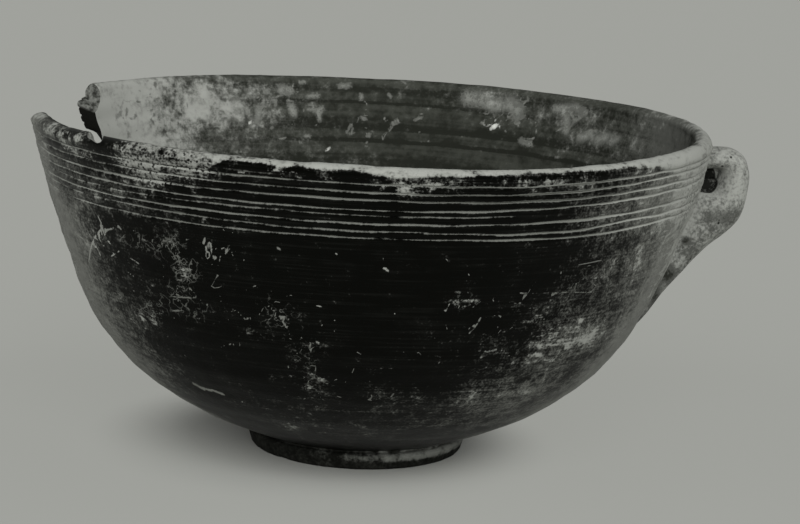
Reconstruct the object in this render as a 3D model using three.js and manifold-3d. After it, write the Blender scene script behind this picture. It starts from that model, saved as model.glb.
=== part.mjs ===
// A wheel-thrown ceramic bowl with one loop handle, a low ring foot and a band of lines
// incised under the lip. A stretch of the rim is broken away and a chip is missing beside it.
// Millimetres, +Z up. The origin lies on the bowl's axis, in the plane that the foot stands on,
// and the handle points along +X. Azimuths are in degrees from the handle, turning towards +Y.

import * as THREE from 'three';
import { mergeVertices } from 'three/addons/utils/BufferGeometryUtils.js';
import Module from 'manifold-3d';

const wasm = await Module();
wasm.setup();

// Bowl: the outside of the wall is one Bezier curve from the foot joint to the lip
const RIM_RADIUS = 100;
const HEIGHT = 99.3;
const LOWER_PULL_RADIUS = 84;
const LOWER_PULL_HEIGHT = 23.7;
const UPPER_PULL_RADIUS = 86;
const UPPER_PULL_HEIGHT = 49.5;
const LIP_WALL = 5;
const LIP_ROUND = 2.6;
const LOWER_WALL = 6.6;
const FLOOR_THICKNESS = 8;

// Incised lines, counted down from the lip
const LINE_COUNT = 8;
const LINE_PITCH = 2.2;
const FIRST_LINE_DROP = 4.8;
const LINE_WIDTH = 1;
const LINE_DEPTH = 0.5;

// Foot ring, and the pad under the floor that it is fitted round
const FOOT_HEIGHT = 5;
const FOOT_RADIUS = 31.8;
const FOOT_FLARE = 0.9;
const FOOT_EDGE_ROUND = 1.2;
const FOOT_LEDGE = 1.8;
const FOOT_RING_WIDTH = 8;
const FOOT_INNER_TAPER = 1.2;
const PAD_RECESS = 1;
const PAD_CHAMFER = 0.6;

// Handle: an arm under the lip, a bend round the eye and a tail laid down the wall
const ARM_DROP = 6.3;
const ARM_THICKNESS = 6.5;
const EYE_HEIGHT = 6.7;
const EYE_DEPTH = 9.4;
const BEND_THICKNESS = 10.4;
const ELBOW_REACH = 20.8;
const HIP_DROP = 31.7;
const HIP_REACH = 18.5;
const TAIL_END_DROP = 66;
const HANDLE_WIDTH = 13.5;
const ROOT_WIDTH = 17;
const ROOT_FLARE = 0.8;
const ROOT_DEPTH = 3;
const TAIL_WIDTH = 12;

// Slip that lutes the pieces together, and the gap that faces cut to fit each other keep
const FOOT_SLIP = 0.5;
const HANDLE_SLIP = 1;
const SLIP_BEAD = 0.9;
const FIT_GAP = 0.3;

// Damage to the rim: outlines of azimuth and depth under the crest
const BREAK_EDGE = [
  [146.5, 0], [147, 4.6], [150.2, 6.2], [149, 13], [147, 19], [152, 24],
  [164, 22.5], [175, 16], [182, 8], [186, 3], [187.5, 0],
];
const CHIP_EDGE = [[211.8, 0], [213.6, 1.4], [215.2, 3.4], [216.6, 3.2], [217.4, 0]];

// Smoothness
const TURN_STEPS = 64;
const WALL_STEPS = 14;
const INSIDE_STEPS = 16;
const FLOOR_STEPS = 5;
const LIP_STEPS = 6;
const EDGE_STEPS = 3;
const HANDLE_STEPS = 40;
const SECTION_STEPS = 16;

// Places that follow from the sizes above
const SEAT_HEIGHT = FOOT_HEIGHT + FOOT_SLIP;
const FOOT_TOP_RADIUS = FOOT_RADIUS + FOOT_FLARE;
const SEAT_RADIUS = FOOT_TOP_RADIUS - FOOT_LEDGE;
const FOOT_BORE = FOOT_RADIUS - FOOT_RING_WIDTH;
const PAD_RADIUS = FOOT_BORE - FIT_GAP;
const FLOOR_HEIGHT = PAD_RECESS + FLOOR_THICKNESS;
const LAST_LINE_HEIGHT = HEIGHT - FIRST_LINE_DROP - (LINE_COUNT - 1) * LINE_PITCH;
const ARM_TOP = HEIGHT - ARM_DROP;
const EYE_TOP = ARM_TOP - ARM_THICKNESS;
const EYE_MIDDLE = EYE_TOP - EYE_HEIGHT / 2;
const EYE_BOTTOM = EYE_TOP - EYE_HEIGHT;
const HIP_HEIGHT = HEIGHT - HIP_DROP;
const TAIL_END_HEIGHT = HEIGHT - TAIL_END_DROP;

const point = (radius, height) => new THREE.Vector2(radius, height);
const range = (count, make) => Array.from({ length: count }, (_, i) => make(i));

const wall = new THREE.CubicBezierCurve(
  point(SEAT_RADIUS, SEAT_HEIGHT),
  point(LOWER_PULL_RADIUS, LOWER_PULL_HEIGHT),
  point(UPPER_PULL_RADIUS, UPPER_PULL_HEIGHT),
  point(RIM_RADIUS, HEIGHT - LIP_ROUND),
);

// Unit vector square to the wall's outside, at a share of the curve
function wallNormal(share) {
  const along = wall.getTangent(share);
  return point(along.y, -along.x);
}

// A point that stands off the wall's outside by a distance
function offWall(share, distance) {
  return wall.getPoint(share).addScaledVector(wallNormal(share), distance);
}

// The inside follows the outside at the wall's thickness, level with it at the lip
function insideWall(share) {
  const across = wallNormal(share).lerp(point(1, 0), share ** 4).normalize();
  const thickness = THREE.MathUtils.lerp(LOWER_WALL, LIP_WALL, share);
  return wall.getPoint(share).addScaledVector(across, -thickness);
}

// Share of the wall's curve at a height, halving the interval that holds it
function shareAtHeight(height) {
  let low = 0;
  let high = 1;
  while (high - low > 1e-7) {
    const middle = (low + high) / 2;
    if (wall.getPoint(middle).y < height) low = middle;
    else high = middle;
  }
  return low;
}

const wallRadius = (height) => wall.getPoint(shareAtHeight(height)).x;

// A profile of radius and height turned about the axis, with the axis upright
function turned(profile) {
  return new THREE.LatheGeometry(profile, TURN_STEPS).rotateX(Math.PI / 2);
}

function lineCuts() {
  return range(LINE_COUNT, (i) => {
    const height = LAST_LINE_HEIGHT + i * LINE_PITCH;
    return [
      offWall(shareAtHeight(height - LINE_WIDTH / 2), 0),
      offWall(shareAtHeight(height), -LINE_DEPTH),
      offWall(shareAtHeight(height + LINE_WIDTH / 2), 0),
    ];
  }).flat();
}

// Half an ellipse over the top of the wall, from its outside to its inside
function lip() {
  const middle = point(RIM_RADIUS - LIP_WALL / 2, HEIGHT - LIP_ROUND);
  return range(LIP_STEPS + 1, (i) => {
    const angle = (Math.PI * i) / LIP_STEPS;
    return point(middle.x + (LIP_WALL / 2) * Math.cos(angle), middle.y + LIP_ROUND * Math.sin(angle));
  });
}

// The inside wall runs out along its own slope and levels off at the axis
function floor() {
  const start = insideWall(0);
  const slope = wall.getTangent(0);
  const bend = point(start.x - ((start.y - FLOOR_HEIGHT) * slope.x) / slope.y, FLOOR_HEIGHT);
  return new THREE.QuadraticBezierCurve(start, bend, point(0, FLOOR_HEIGHT)).getPoints(FLOOR_STEPS);
}

function bodyProfile() {
  const lowestCut = shareAtHeight(LAST_LINE_HEIGHT - LINE_WIDTH / 2);
  return [
    point(0, PAD_RECESS),
    point(PAD_RADIUS - PAD_CHAMFER, PAD_RECESS),
    point(PAD_RADIUS, PAD_RECESS + PAD_CHAMFER),
    point(PAD_RADIUS, SEAT_HEIGHT),
    ...range(WALL_STEPS, (i) => offWall((lowestCut * i) / WALL_STEPS, 0)),
    ...lineCuts(),
    ...lip(),
    ...range(INSIDE_STEPS - 1, (i) => insideWall(1 - (i + 1) / INSIDE_STEPS)),
    ...floor(),
  ];
}

// A quarter round at a profile's corner, turning from one angle to another
function cornerRound(centre, from, to) {
  return range(EDGE_STEPS + 1, (i) => {
    const angle = THREE.MathUtils.lerp(from, to, i / EDGE_STEPS);
    return point(centre.x + FOOT_EDGE_ROUND * Math.cos(angle), centre.y + FOOT_EDGE_ROUND * Math.sin(angle));
  });
}

function footProfile() {
  const ring = [
    point(FOOT_BORE, FOOT_HEIGHT),
    point(FOOT_BORE + FOOT_INNER_TAPER, 0),
    ...cornerRound(point(FOOT_RADIUS - FOOT_EDGE_ROUND, FOOT_EDGE_ROUND), -Math.PI / 2, 0),
    ...cornerRound(point(FOOT_TOP_RADIUS - FOOT_EDGE_ROUND, FOOT_HEIGHT - FOOT_EDGE_ROUND), 0, Math.PI / 2),
  ];
  return [...ring, ring[0]];
}

function footSlipProfile() {
  const ring = [
    point(FOOT_BORE, SEAT_HEIGHT),
    point(FOOT_BORE, FOOT_HEIGHT),
    point(SEAT_RADIUS, FOOT_HEIGHT),
    point(SEAT_RADIUS, SEAT_HEIGHT),
  ];
  return [...ring, ring[0]];
}

// The space inside the wall's outside, let out by a distance
function wallSpace(distance) {
  const skin = range(INSIDE_STEPS * 2 + 1, (i) => offWall(i / (INSIDE_STEPS * 2), distance));
  return turned([point(0, skin[0].y), ...skin, point(0, skin.at(-1).y)]);
}

// Closed mesh from corners and triangles
function meshGeometry(corners, triangles) {
  const geometry = new THREE.BufferGeometry();
  geometry.setAttribute('position', new THREE.Float32BufferAttribute(corners, 3));
  geometry.setIndex(triangles);
  return geometry;
}

// A prism that runs out from the axis through the wall, with its outline in azimuth and drop
function radialPrism(edge) {
  const clear = LIP_WALL;
  const outline = [[edge[0][0], -clear], ...edge, [edge.at(-1)[0], -clear]];
  const reaches = [RIM_RADIUS * 0.7, RIM_RADIUS * 1.2];
  const corners = reaches.flatMap((reach) => outline.flatMap(([azimuth, drop]) => {
    const angle = THREE.MathUtils.degToRad(azimuth);
    return [reach * Math.cos(angle), reach * Math.sin(angle), HEIGHT - drop];
  }));
  const count = outline.length;
  const caps = THREE.ShapeUtils.triangulateShape(outline.map(([azimuth, drop]) => point(azimuth, -drop)), []);
  const inner = caps.map(([a, b, c]) => [a, c, b]);
  const outer = caps.map((corner) => corner.map((i) => i + count));
  const sides = range(count, (i) => {
    const next = (i + 1) % count;
    return [[i, next, count + next], [i, count + next, count + i]];
  }).flat();
  return meshGeometry(corners, [...inner, ...outer, ...sides].flat());
}

// A point at a height, standing out from the wall in the handle's own plane
function offBowl(height, out) {
  return new THREE.Vector3(wallRadius(height) + out, 0, height);
}

// The handle's edge on the eye's side, its outer edge and its width, from the arm's root to the tail's end
function handleStations() {
  const tail = (share, out) => {
    const outer = THREE.MathUtils.lerp(HIP_HEIGHT, TAIL_END_HEIGHT, share);
    const inner = THREE.MathUtils.lerp(EYE_BOTTOM, TAIL_END_HEIGHT, share);
    return [offBowl(inner, -ROOT_DEPTH), offBowl(outer, out), TAIL_WIDTH];
  };
  return [
    [offBowl(EYE_TOP - ROOT_FLARE, -ROOT_DEPTH), offBowl(ARM_TOP + ROOT_FLARE, -ROOT_DEPTH), ROOT_WIDTH],
    [offBowl(EYE_TOP, EYE_DEPTH * 0.45), offBowl(ARM_TOP, EYE_DEPTH * 0.45), HANDLE_WIDTH],
    [offBowl(EYE_TOP, EYE_DEPTH * 0.88), offBowl(ARM_TOP, EYE_DEPTH + BEND_THICKNESS * 0.14), HANDLE_WIDTH],
    [
      offBowl(EYE_TOP - EYE_HEIGHT * 0.15, EYE_DEPTH),
      offBowl(ARM_TOP - ARM_THICKNESS * 0.46, EYE_DEPTH + BEND_THICKNESS * 0.66),
      HANDLE_WIDTH,
    ],
    [offBowl(EYE_MIDDLE, EYE_DEPTH), offBowl(EYE_MIDDLE, EYE_DEPTH + BEND_THICKNESS), HANDLE_WIDTH],
    [
      offBowl(EYE_BOTTOM + EYE_HEIGHT * 0.08, EYE_DEPTH * 0.84),
      offBowl((EYE_BOTTOM + HIP_HEIGHT) / 2, ELBOW_REACH),
      HANDLE_WIDTH,
    ],
    [offBowl(EYE_BOTTOM, EYE_DEPTH * 0.2), offBowl(HIP_HEIGHT, HIP_REACH), HANDLE_WIDTH],
    tail(0.2, HIP_REACH * 0.68),
    tail(0.55, HIP_REACH * 0.39),
    tail(0.83, HIP_REACH * 0.25),
    tail(1, 0),
  ];
}

// Elliptic sections lofted from edge to edge of the handle, let out all round by extra
function handleLoft(extra) {
  const stations = handleStations();
  const eyeEdge = new THREE.CatmullRomCurve3(stations.map(([edge]) => edge));
  const outerEdge = new THREE.CatmullRomCurve3(stations.map(([, edge]) => edge));
  const widths = new THREE.CatmullRomCurve3(stations.map(([, , width]) => new THREE.Vector3(width, 0, 0)));
  const rings = range(HANDLE_STEPS + 1, (i) => {
    const share = i / HANDLE_STEPS;
    const eyeSide = eyeEdge.getPoint(share);
    const outerSide = outerEdge.getPoint(share);
    const middle = eyeSide.clone().lerp(outerSide, 0.5);
    const across = outerSide.sub(middle);
    across.setLength(across.length() + extra);
    const halfWidth = widths.getPoint(share).x / 2 + extra;
    return range(SECTION_STEPS, (k) => {
      const angle = (-2 * Math.PI * k) / SECTION_STEPS;
      const corner = middle.clone().addScaledVector(across, Math.cos(angle));
      return [corner.x, halfWidth * Math.sin(angle), corner.z];
    });
  });
  const at = (ring, k) => ring * SECTION_STEPS + (k % SECTION_STEPS);
  const skin = range(HANDLE_STEPS, (ring) => range(SECTION_STEPS, (k) => [
    [at(ring, k), at(ring, k + 1), at(ring + 1, k + 1)],
    [at(ring, k), at(ring + 1, k + 1), at(ring + 1, k)],
  ]).flat()).flat();
  const ends = range(SECTION_STEPS - 2, (k) => [
    [at(0, 0), at(0, k + 2), at(0, k + 1)],
    [at(HANDLE_STEPS, 0), at(HANDLE_STEPS, k + 1), at(HANDLE_STEPS, k + 2)],
  ]).flat();
  return meshGeometry(rings.flat(2), [...skin, ...ends].flat());
}

// Solid for cutting and joining, from a closed geometry
function solid(geometry) {
  const bare = geometry.clone();
  bare.deleteAttribute('normal');
  bare.deleteAttribute('uv');
  const merged = mergeVertices(bare, 1e-4);
  const triangles = range(merged.index.count / 3, (i) => merged.index.array.slice(i * 3, i * 3 + 3));
  const whole = triangles.filter(([a, b, c]) => a !== b && b !== c && c !== a);
  return new wasm.Manifold(new wasm.Mesh({
    numProp: 3,
    vertProperties: new Float32Array(merged.attributes.position.array),
    triVerts: new Uint32Array(whole.flatMap((triangle) => [...triangle])),
  }));
}

function geometryOf(manifold) {
  const mesh = manifold.getMesh();
  return meshGeometry([...mesh.vertProperties], [...mesh.triVerts]);
}

// Everything above or below the middle of the handle's eye
function halfSpace(above) {
  const side = RIM_RADIUS * 3;
  const block = new THREE.BoxGeometry(side, side, side);
  return solid(block.translate(0, 0, EYE_MIDDLE + (above ? side / 2 : -side / 2)));
}

function bowlBody() {
  return geometryOf(solid(turned(bodyProfile())).subtract(solid(radialPrism(BREAK_EDGE)))
    .subtract(solid(radialPrism(CHIP_EDGE))));
}

function handle() {
  return geometryOf(solid(handleLoft(0)).subtract(solid(wallSpace(FIT_GAP + HANDLE_SLIP + FIT_GAP))));
}

// Slip between the handle and the wall, squeezed out a little all round the handle
function handleSlip(above) {
  const layer = solid(wallSpace(FIT_GAP + HANDLE_SLIP)).subtract(solid(wallSpace(FIT_GAP)));
  return geometryOf(solid(handleLoft(SLIP_BEAD)).intersect(layer).intersect(halfSpace(above)));
}

const part = new THREE.Group();

function add(name, geometry, color, roughness) {
  const material = new THREE.MeshStandardMaterial({ color, roughness, metalness: 0 });
  const mesh = new THREE.Mesh(geometry, material);
  mesh.name = name;
  part.add(mesh);
}

add('bowl_body', bowlBody(), 0x24251f, 0.45);
add('foot_ring', turned(footProfile()), 0x34352e, 0.6);
add('foot_luting', turned(footSlipProfile()), 0x4b4c44, 0.8);
add('handle', handle(), 0x7f827a, 0.75);
add('handle_upper_luting', handleSlip(true), 0x8b8d85, 0.85);
add('handle_lower_luting', handleSlip(false), 0x8b8d85, 0.85);

export default part;
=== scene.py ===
import math

import bpy
import numpy as np
from mathutils import Matrix, Vector


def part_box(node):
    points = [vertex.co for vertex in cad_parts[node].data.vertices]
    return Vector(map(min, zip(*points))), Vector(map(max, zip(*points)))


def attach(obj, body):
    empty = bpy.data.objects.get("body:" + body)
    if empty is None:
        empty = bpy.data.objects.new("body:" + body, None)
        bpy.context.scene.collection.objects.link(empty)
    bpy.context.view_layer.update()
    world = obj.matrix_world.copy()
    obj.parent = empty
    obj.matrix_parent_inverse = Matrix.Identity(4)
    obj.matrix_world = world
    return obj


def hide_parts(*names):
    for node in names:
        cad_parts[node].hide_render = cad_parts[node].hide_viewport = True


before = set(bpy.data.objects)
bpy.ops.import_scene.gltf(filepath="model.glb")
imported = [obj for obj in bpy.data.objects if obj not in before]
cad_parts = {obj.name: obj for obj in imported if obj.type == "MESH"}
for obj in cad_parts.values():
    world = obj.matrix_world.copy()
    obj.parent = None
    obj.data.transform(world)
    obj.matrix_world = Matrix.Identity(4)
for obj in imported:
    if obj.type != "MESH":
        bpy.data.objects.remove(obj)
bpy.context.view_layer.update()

# An old thrown bowl with one loop handle, a low foot, lines incised under the lip and a broken rim.
# Sizes are in millimetres, heights above the standing plane, drops below the crest of the rim, and
# azimuths in degrees from the handle. Meshes are put down in metres.
MM = 0.001

# Sizes that the frame gives
body_low, body_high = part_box("bowl_body")
foot_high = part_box("foot_ring")[1]
seam_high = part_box("foot_luting")[1]
RIM_RADIUS = body_high.x / MM
HEIGHT = body_high.z / MM
PAD_RECESS = body_low.z / MM
FOOT_TOP_RADIUS = foot_high.x / MM
FOOT_HEIGHT = foot_high.z / MM
SEAT_RADIUS = seam_high.x / MM
SEAT_HEIGHT = seam_high.z / MM

# Thrown wall
WALL_PULLS = ((84, 23.7), (86, 49.5))
LIP_WALL = 5
LIP_ROUND = 2.6
LOWER_WALL = 6.6
FLOOR_THICKNESS = 8
PAD_RADIUS = 23.5
PAD_CHAMFER = 0.6
SEAT_CORNER = (0.4, 0.3)
SEAT_EDGE = 1
FLOOR_HEIGHT = PAD_RECESS + FLOOR_THICKNESS
LIP_HEIGHT = HEIGHT - LIP_ROUND
WALL_CORNERS = ((SEAT_RADIUS, SEAT_HEIGHT), *WALL_PULLS, (RIM_RADIUS, LIP_HEIGHT))

# Foot, and the bead of slip round its joint
FOOT_FLARE = 0.9
FOOT_EDGE_ROUND = 1.2
FOOT_RING_WIDTH = 8
FOOT_INNER_TAPER = 1.2
FOOT_BORE_CHAMFER = 0.8
FOOT_RADIUS = FOOT_TOP_RADIUS - FOOT_FLARE
SEAM_INSET = 0.6
SEAM_SINK = 0.25
SEAM_HALF_WIDTH = 1.1
SEAM_HALF_HEIGHT = 0.75

# Handle
ARM_DROP = 6.3
ARM_THICKNESS = 6.5
EYE_HEIGHT = 6.7
EYE_DEPTH = 9.4
BEND_THICKNESS = 10.4
ELBOW_REACH = 20.8
HIP_DROP = 31.7
HIP_REACH = 18.5
TAIL_END_DROP = 66
HANDLE_WIDTH = 13.5
ROOT_WIDTH = 17
ROOT_FLARE = 0.8
ROOT_DEPTH = 3
TAIL_WIDTH = 12
FILLET = 2.4
LEAST_SLANT = 0.3
ARM_TOP = HEIGHT - ARM_DROP
EYE_TOP = ARM_TOP - ARM_THICKNESS
EYE_MIDDLE = EYE_TOP - EYE_HEIGHT / 2
EYE_BOTTOM = EYE_TOP - EYE_HEIGHT
HIP = HEIGHT - HIP_DROP
TAIL_END = HEIGHT - TAIL_END_DROP

# Earth that chokes the eye: how far behind the handle's middle it sits, where it thins out in depth, and
# in shares of the eye's height and depth, and how far its two halves overlap
CHOKE_DEPTH = 3
CHOKE_SPAN = (4.5, 1.2)
CHOKE_RISE = (0.92, 0.45)
CHOKE_REACH = (0.95, 0.55)
CHOKE_OVERLAP = 0.4
# Painted shade in the eye, mottled with grey earth: where it fades round the eye, in shares of its depth,
# and at its mouth, in shares of the handle's width
EYE_EDGE = (0.62, 0.45)
EYE_MOUTH = (-0.34, -0.2)

# Incised lines: heights at the azimuths of LINE_TURNS, where each line starts and ends, and its depth
LINE_TURNS = (200, 220, 250, 270, 285, 300, 310, 320)
LINES = {
    "first": ((94.6, 94.4, 94.8, 94.6, 94.4, 94.9, 95.2, 95.3), None, 0.45),
    "second": ((92.1, 92.2, 92.6, 92.3, 92.4, 92.7, 93.2, 93.6), None, 0.45),
    "third": ((89.6, 89.7, 90.3, 90.4, 90.4, 90.5, 91.0, 91.2), None, 0.55),
    "fourth": ((87.3, 87.4, 87.5, 87.7, 88.0, 88.3, 88.8, 89.1), None, 0.45),
    "short": ((85.4, 85.5, 86.2, 86.2, 86.2, 86.2, 86.2, 86.2), (20, 287), 0.35),
    "sixth": ((83.5, 83.6, 84.0, 84.0, 83.9, 84.4, 84.8, 85.1), None, 0.5),
    "seventh": ((81.8, 81.9, 81.9, 81.9, 81.2, 81.5, 82.8, 82.3), None, 0.4),
    "last": ((79.3, 79.4, 80.0, 79.9, 79.8, 79.7, 80.0, 80.3), None, 0.4),
    "scratch": ((96.2, 96.2, 96.0, 95.9, 95.9, 95.9, 95.9, 95.9), (240, 293), 0.2),
}
LINE_HALF_WIDTH = 0.36
LINE_FADE = 1.5
GROOVE_STEEPNESS = 1.6
FULL_CUT = 0.45

# How full of lime the lines are, by azimuth
LINE_FILL = (
    (0, 0.7), (120, 0.8), (195, 0.85), (225, 0.95), (260, 0.95), (285, 1.15), (300, 1.6), (325, 1.9),
)

# Damage to the rim: outlines of azimuth and drop, on the outside and on the inside of the wall
BREAK_OUTSIDE = (
    (145.8, 0), (146.7, 2.8), (147, 3.9), (149.6, 4.4), (150.2, 5.7), (149.9, 9.6), (149.1, 13.4),
    (146, 14.7), (144.2, 18), (145, 22), (152, 25), (164, 23), (175, 16), (181, 8), (184.5, 4),
    (186.5, 2), (187.8, 0.8), (188.6, 0),
)
BREAK_INSIDE = (
    (146.7, 0), (146.1, 3), (147.1, 5), (149.1, 7.1), (149.8, 7.6), (149.5, 10), (149.2, 13),
    (149, 15.5), (148.9, 17.5), (148.5, 22), (153, 26), (164, 24), (175, 17), (180.5, 9), (183.6, 5),
    (185.4, 2.6), (186.4, 1), (187, 0),
)
CHIP_OUTSIDE = (
    (213.4, 0), (213.9, 1.1), (215.1, 1.3), (215.9, 1.8), (216.5, 1.9), (217.4, 1.4), (217.9, 0.5),
    (218, 0),
)
CHIP_INSIDE = (
    (210.8, 0), (211, 1.1), (211.3, 2.4), (211.6, 3), (212.8, 3), (213.9, 2.1), (214.1, 1), (214.2, 0),
)
# Missing pieces: both outlines and the seed of their lumps
MISSING = {
    "break": (BREAK_OUTSIDE, BREAK_INSIDE, 40),
    "chip": (CHIP_OUTSIDE, CHIP_INSIDE, 50),
}
# Ends of the missing pieces beyond the wall, in its thicknesses, and the drops between which the broken
# face turns from smooth to rough
BREAK_ENDS = (-4, 5)
BREAK_ROUGH_DROPS = (8, 5)
BREAK_SMOOTH_SHARE = 0.12
# Break faces near black below a drop: the drop, and how it slants through the wall
DARK_BELOW_DROP = 7.4
DARK_BELOW_SLANT = 1.7
DARK_BELOW_EDGE = (-0.2, 0.6)
# Azimuths between which broken clay turns from bare to limed
LIMED_TURNS = (195, 205)

# Unevenness. Pulls off the round: azimuth, half width in degrees, then heights and the way out at each
PULLS = {
    "out at the handle": (0, 24, (45, 70, 83, 92, HEIGHT), (0, 1.3, 2.5, 1.4, 0.3)),
    "in below the break": (176, 20, (42, 50, 56, 68, 80, 88), (0, -0.6, -1.1, -0.8, -0.2, 0)),
}
# Press on the rim by the break, the rise of the oval and the dip of the crest: sizes, then azimuths with
# half widths, heights and drops
RIM_PRESS = 0.6
RIM_PRESS_TURN = (189, 11)
RIM_PRESS_RISE = (78, 94)
OVAL_RISE = (45, 90)
CREST_DIP = 0.7
CREST_DIP_TURN = (280, 20)
CREST_FADE = 14
# Waves round the axis: size, crests in a turn, start in degrees
OVAL = ((0.25, 2, -50),)
CREST_WAVES = ((0.18, 3, 40), (0.12, 7, 0))
LINE_WANDER = ((0.10, 7, 50), (0.07, 31, 70))
LINE_SWELL = ((0.2, 11, 80),)
FOOT_SETTLING = ((0.125, 2, 30),)
SEAM_WAVES = ((0.25, 5, 0), (0.2, 13, 70))
# Spiral ridges: size, rise in a radian, number of starts
WHEEL_RIDGES = ((0.05, 0.75, 1), (0.09, 1.9, 2))
THROWING_RIDGES = ((0.22, 7.2 / (2 * math.pi), 1),)
RIDGE_RISE = (1, 8)
THROWING_DROPS = (2, 10)
# Lumps: height, size and seed
WALL_LUMPS = ((0.10, 7, 1), (0.035, 2.6, 2))
CRUST_LUMPS = ((0.5, 2.8, 4),)
BREAK_LUMPS = ((0.18, 2.4, 0), (0.08, 1.1, 3))
FOOT_LUMPS = ((0.16, 6, 11), (0.1, 2, 12))
SEAM_OUT_LUMPS = ((0.15, 2, 21),)
SEAM_UP_LUMPS = ((0.1, 2, 22),)
HANDLE_LUMPS = ((0.34, 9, 31), (0.16, 3.4, 32))
# Raised crust, nicks in the lip and chips in the foot's edge: sizes and the levels at which they show
CRUST_THICKNESS = 0.22
CRUST_LEVELS = (0.5, 1.0)
NICK_DEPTH = 0.3
NICK_SIZE = 4.4
NICK_SEED = 3
NICK_LEVELS = (0.55, 0.95)
FOOT_CHIP = 0.55
FOOT_CHIP_SIZE = 4
FOOT_CHIP_SEED = 13
FOOT_CHIP_LEVELS = (0.45, 0.9)
FOOT_CHIP_RISE = (2.2, 0.6)
FOOT_SETTLED_FROM = 2
FOOT_FACE = (-3, -0.5)
# Whole numbers that mix a lattice cell's place into its value
CELL_FACTORS = (374761393, 668265263, 1442695041)
SEED_FACTOR = 974711
MIX_FACTOR = 1274126177

# Fineness of the meshes
FRONT_COLUMNS = 258
BACK_COLUMNS = 156
BREAK_COLUMNS = 20
FRONT_START = 184
FRONT_END = 372
BACK_END = 508
BAND_STEP = 0.29
BAND_MARGIN = 3
WALL_ROWS = 58
LIP_ROWS = 12
INSIDE_ROWS = 58
INSIDE_CROWDING = 1.5
FLOOR_ROWS = 8
FLOOR_END = 0.94
PAD_ROWS = 8
AXIS_GAP = 2
FOOT_AROUND = 288
FOOT_TURNS = np.arange(FOOT_AROUND) * 360 / FOOT_AROUND
FOOT_ARC_ROWS = 7
FOOT_RISE_ROWS = 10
FOOT_REST_ROWS = 8
FOOT_BORE_ROWS = 5
FOOT_TOP_ROWS = 7
SEAM_AROUND = 16
HANDLE_ROWS = 150
HANDLE_AROUND = 72
BREAK_STEP = 0.8
SHARP_ANGLE = 48

# Lime crust: how thick it lies on the lip, and how far it reaches down the outside, by azimuth
LIP_CRUST = (
    (0, 0.9), (12, 0.3), (60, 0.2), (110, 0.35), (130, 0.5), (146, 0.5), (190, 0.55), (205, 0.55),
    (211, 0.45), (217, 0.05), (222, 0.4), (226, 0.75), (237, 0.72), (247, 0.72), (251, 0.95), (300, 0.95),
    (332, 1.0),
)
LIP_EDGE_START = 0.75
LIP_EDGE_SPREAD = 1.2
INSIDE_LIP_SHARE = 0.6
INSIDE_LIP_EDGE = (0.4, 1.6)
LIP_REACH = (
    (0, 24), (20, 8), (60, 3), (110, 3), (146, 3), (190, 5), (217, 3), (225, 7), (237, 6.5),
    (241, 0.6), (250, 0.8), (261, 1.0), (266, 2.4), (273, 2.0), (285, 1.2), (299, 0.8), (309, 0.9),
    (315, 2.0), (320, 5), (326, 10), (338, 22),
)
# Patches of crust: azimuth, height, half width in degrees, half height, strength
OUTSIDE_CRUST_AND_SHEEN = {
    "speckled crust": (227, 93.5, 7, 5.5, 0.88),
    "speckled crust, right": (235, 94.5, 5, 4.5, 0.78),
    "under the lip": (249.6, 97.4, 1.4, 1.8, 0.7),
    "under the lip, middle": (252.4, 96.3, 1.6, 1.4, 0.6),
    "under the lip, right": (256.5, 96.6, 1.6, 1.4, 0.62),
    "flakes under the lip": (271, 95.3, 9, 2.4, 0.50),
    "flakes under the lip, right": (288, 95.6, 12, 2.2, 0.47),
    "flakes under the lip, far right, painted light": (310, 95.5, 5, 2, 0.44),
    "flakes between the lines": (268.5, 93.5, 2.5, 2.5, 0.48),
    "left under the lip": (208, 95, 5, 3, 0.45),
    "left end": (195, 92.5, 3.5, 4, 0.52),
    "left dash": (206, 95.5, 3, 1.4, 0.72),
    "left dash, low": (210.5, 93.4, 3.5, 1.4, 0.68),
    "left dab": (200, 96, 2.5, 2, 0.5),
    "left lines": (204, 89, 8, 6, 0.24),
    "left low lines": (214, 84, 10, 5, 0.26),
    "smear": (311, 47.5, 6.5, 4.5, 0.72),
    "wide smear": (300, 49, 11, 8, 0.54),
    "low smear": (301, 32.5, 6, 2, 0.5),
    "low smear, left": (287, 31, 4, 3, 0.45),
    "brushed mark": (280, 62.5, 3.5, 1.4, 0.42),
    "tangle": (289.5, 59.5, 2.5, 2.5, 0.36),
    "under the front": (253.5, 38, 4, 6, 0.33),
    "front specks": (253, 49, 3.5, 2.5, 0.48),
    "front fleck": (243, 51, 1.6, 2, 0.55),
    "left tangle": (216, 48, 4.5, 5, 0.48),
    "left cluster": (231.5, 66, 2.2, 4, 0.3),
    "left upper": (228, 73, 6, 3, 0.3),
    "low blotch": (245, 18.5, 3, 2, 0.5),
    "front low": (275.5, 33, 3, 2.5, 0.45),
    "right wall": (342, 80, 12, 30, 1.1),
    "right of the lines": (332, 86, 12, 15, 1.15),
    # Painted sheen along the left edge, where the wall turns away from the camera
    "left edge sheen": (186, 60, 8, 60, 0.4),
    "right low": (318, 70, 8, 6, 0.4),
    "behind the handle": (18, 80, 14, 22, 0.5),
    "back smear": (75, 55, 16, 12, 0.5),
    "back low": (120, 35, 14, 9, 0.45),
    "back break": (165, 66, 14, 8, 0.5),
}
INSIDE_CRUST = {
    "heavy crust": (142, 84, 22, 40, 1.06),
    "crust edge": (120, 90, 13, 9, 0.80),
    "by the crust": (112, 78, 8, 8, 0.38),
    "under the rim, left": (112, 95, 10, 4, 0.5),
    "right patch": (32, 88, 8, 4, 0.36),
    "wide patch": (57, 94, 7, 4, 0.38),
    "upper patch": (40, 93, 7, 4, 0.36),
    "left of the gap": (200, 85, 16, 14, 0.6),
    "front inside": (262, 70, 40, 14, 0.42),
    "floor": (250, 12, 60, 5, 0.5),
}
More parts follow.
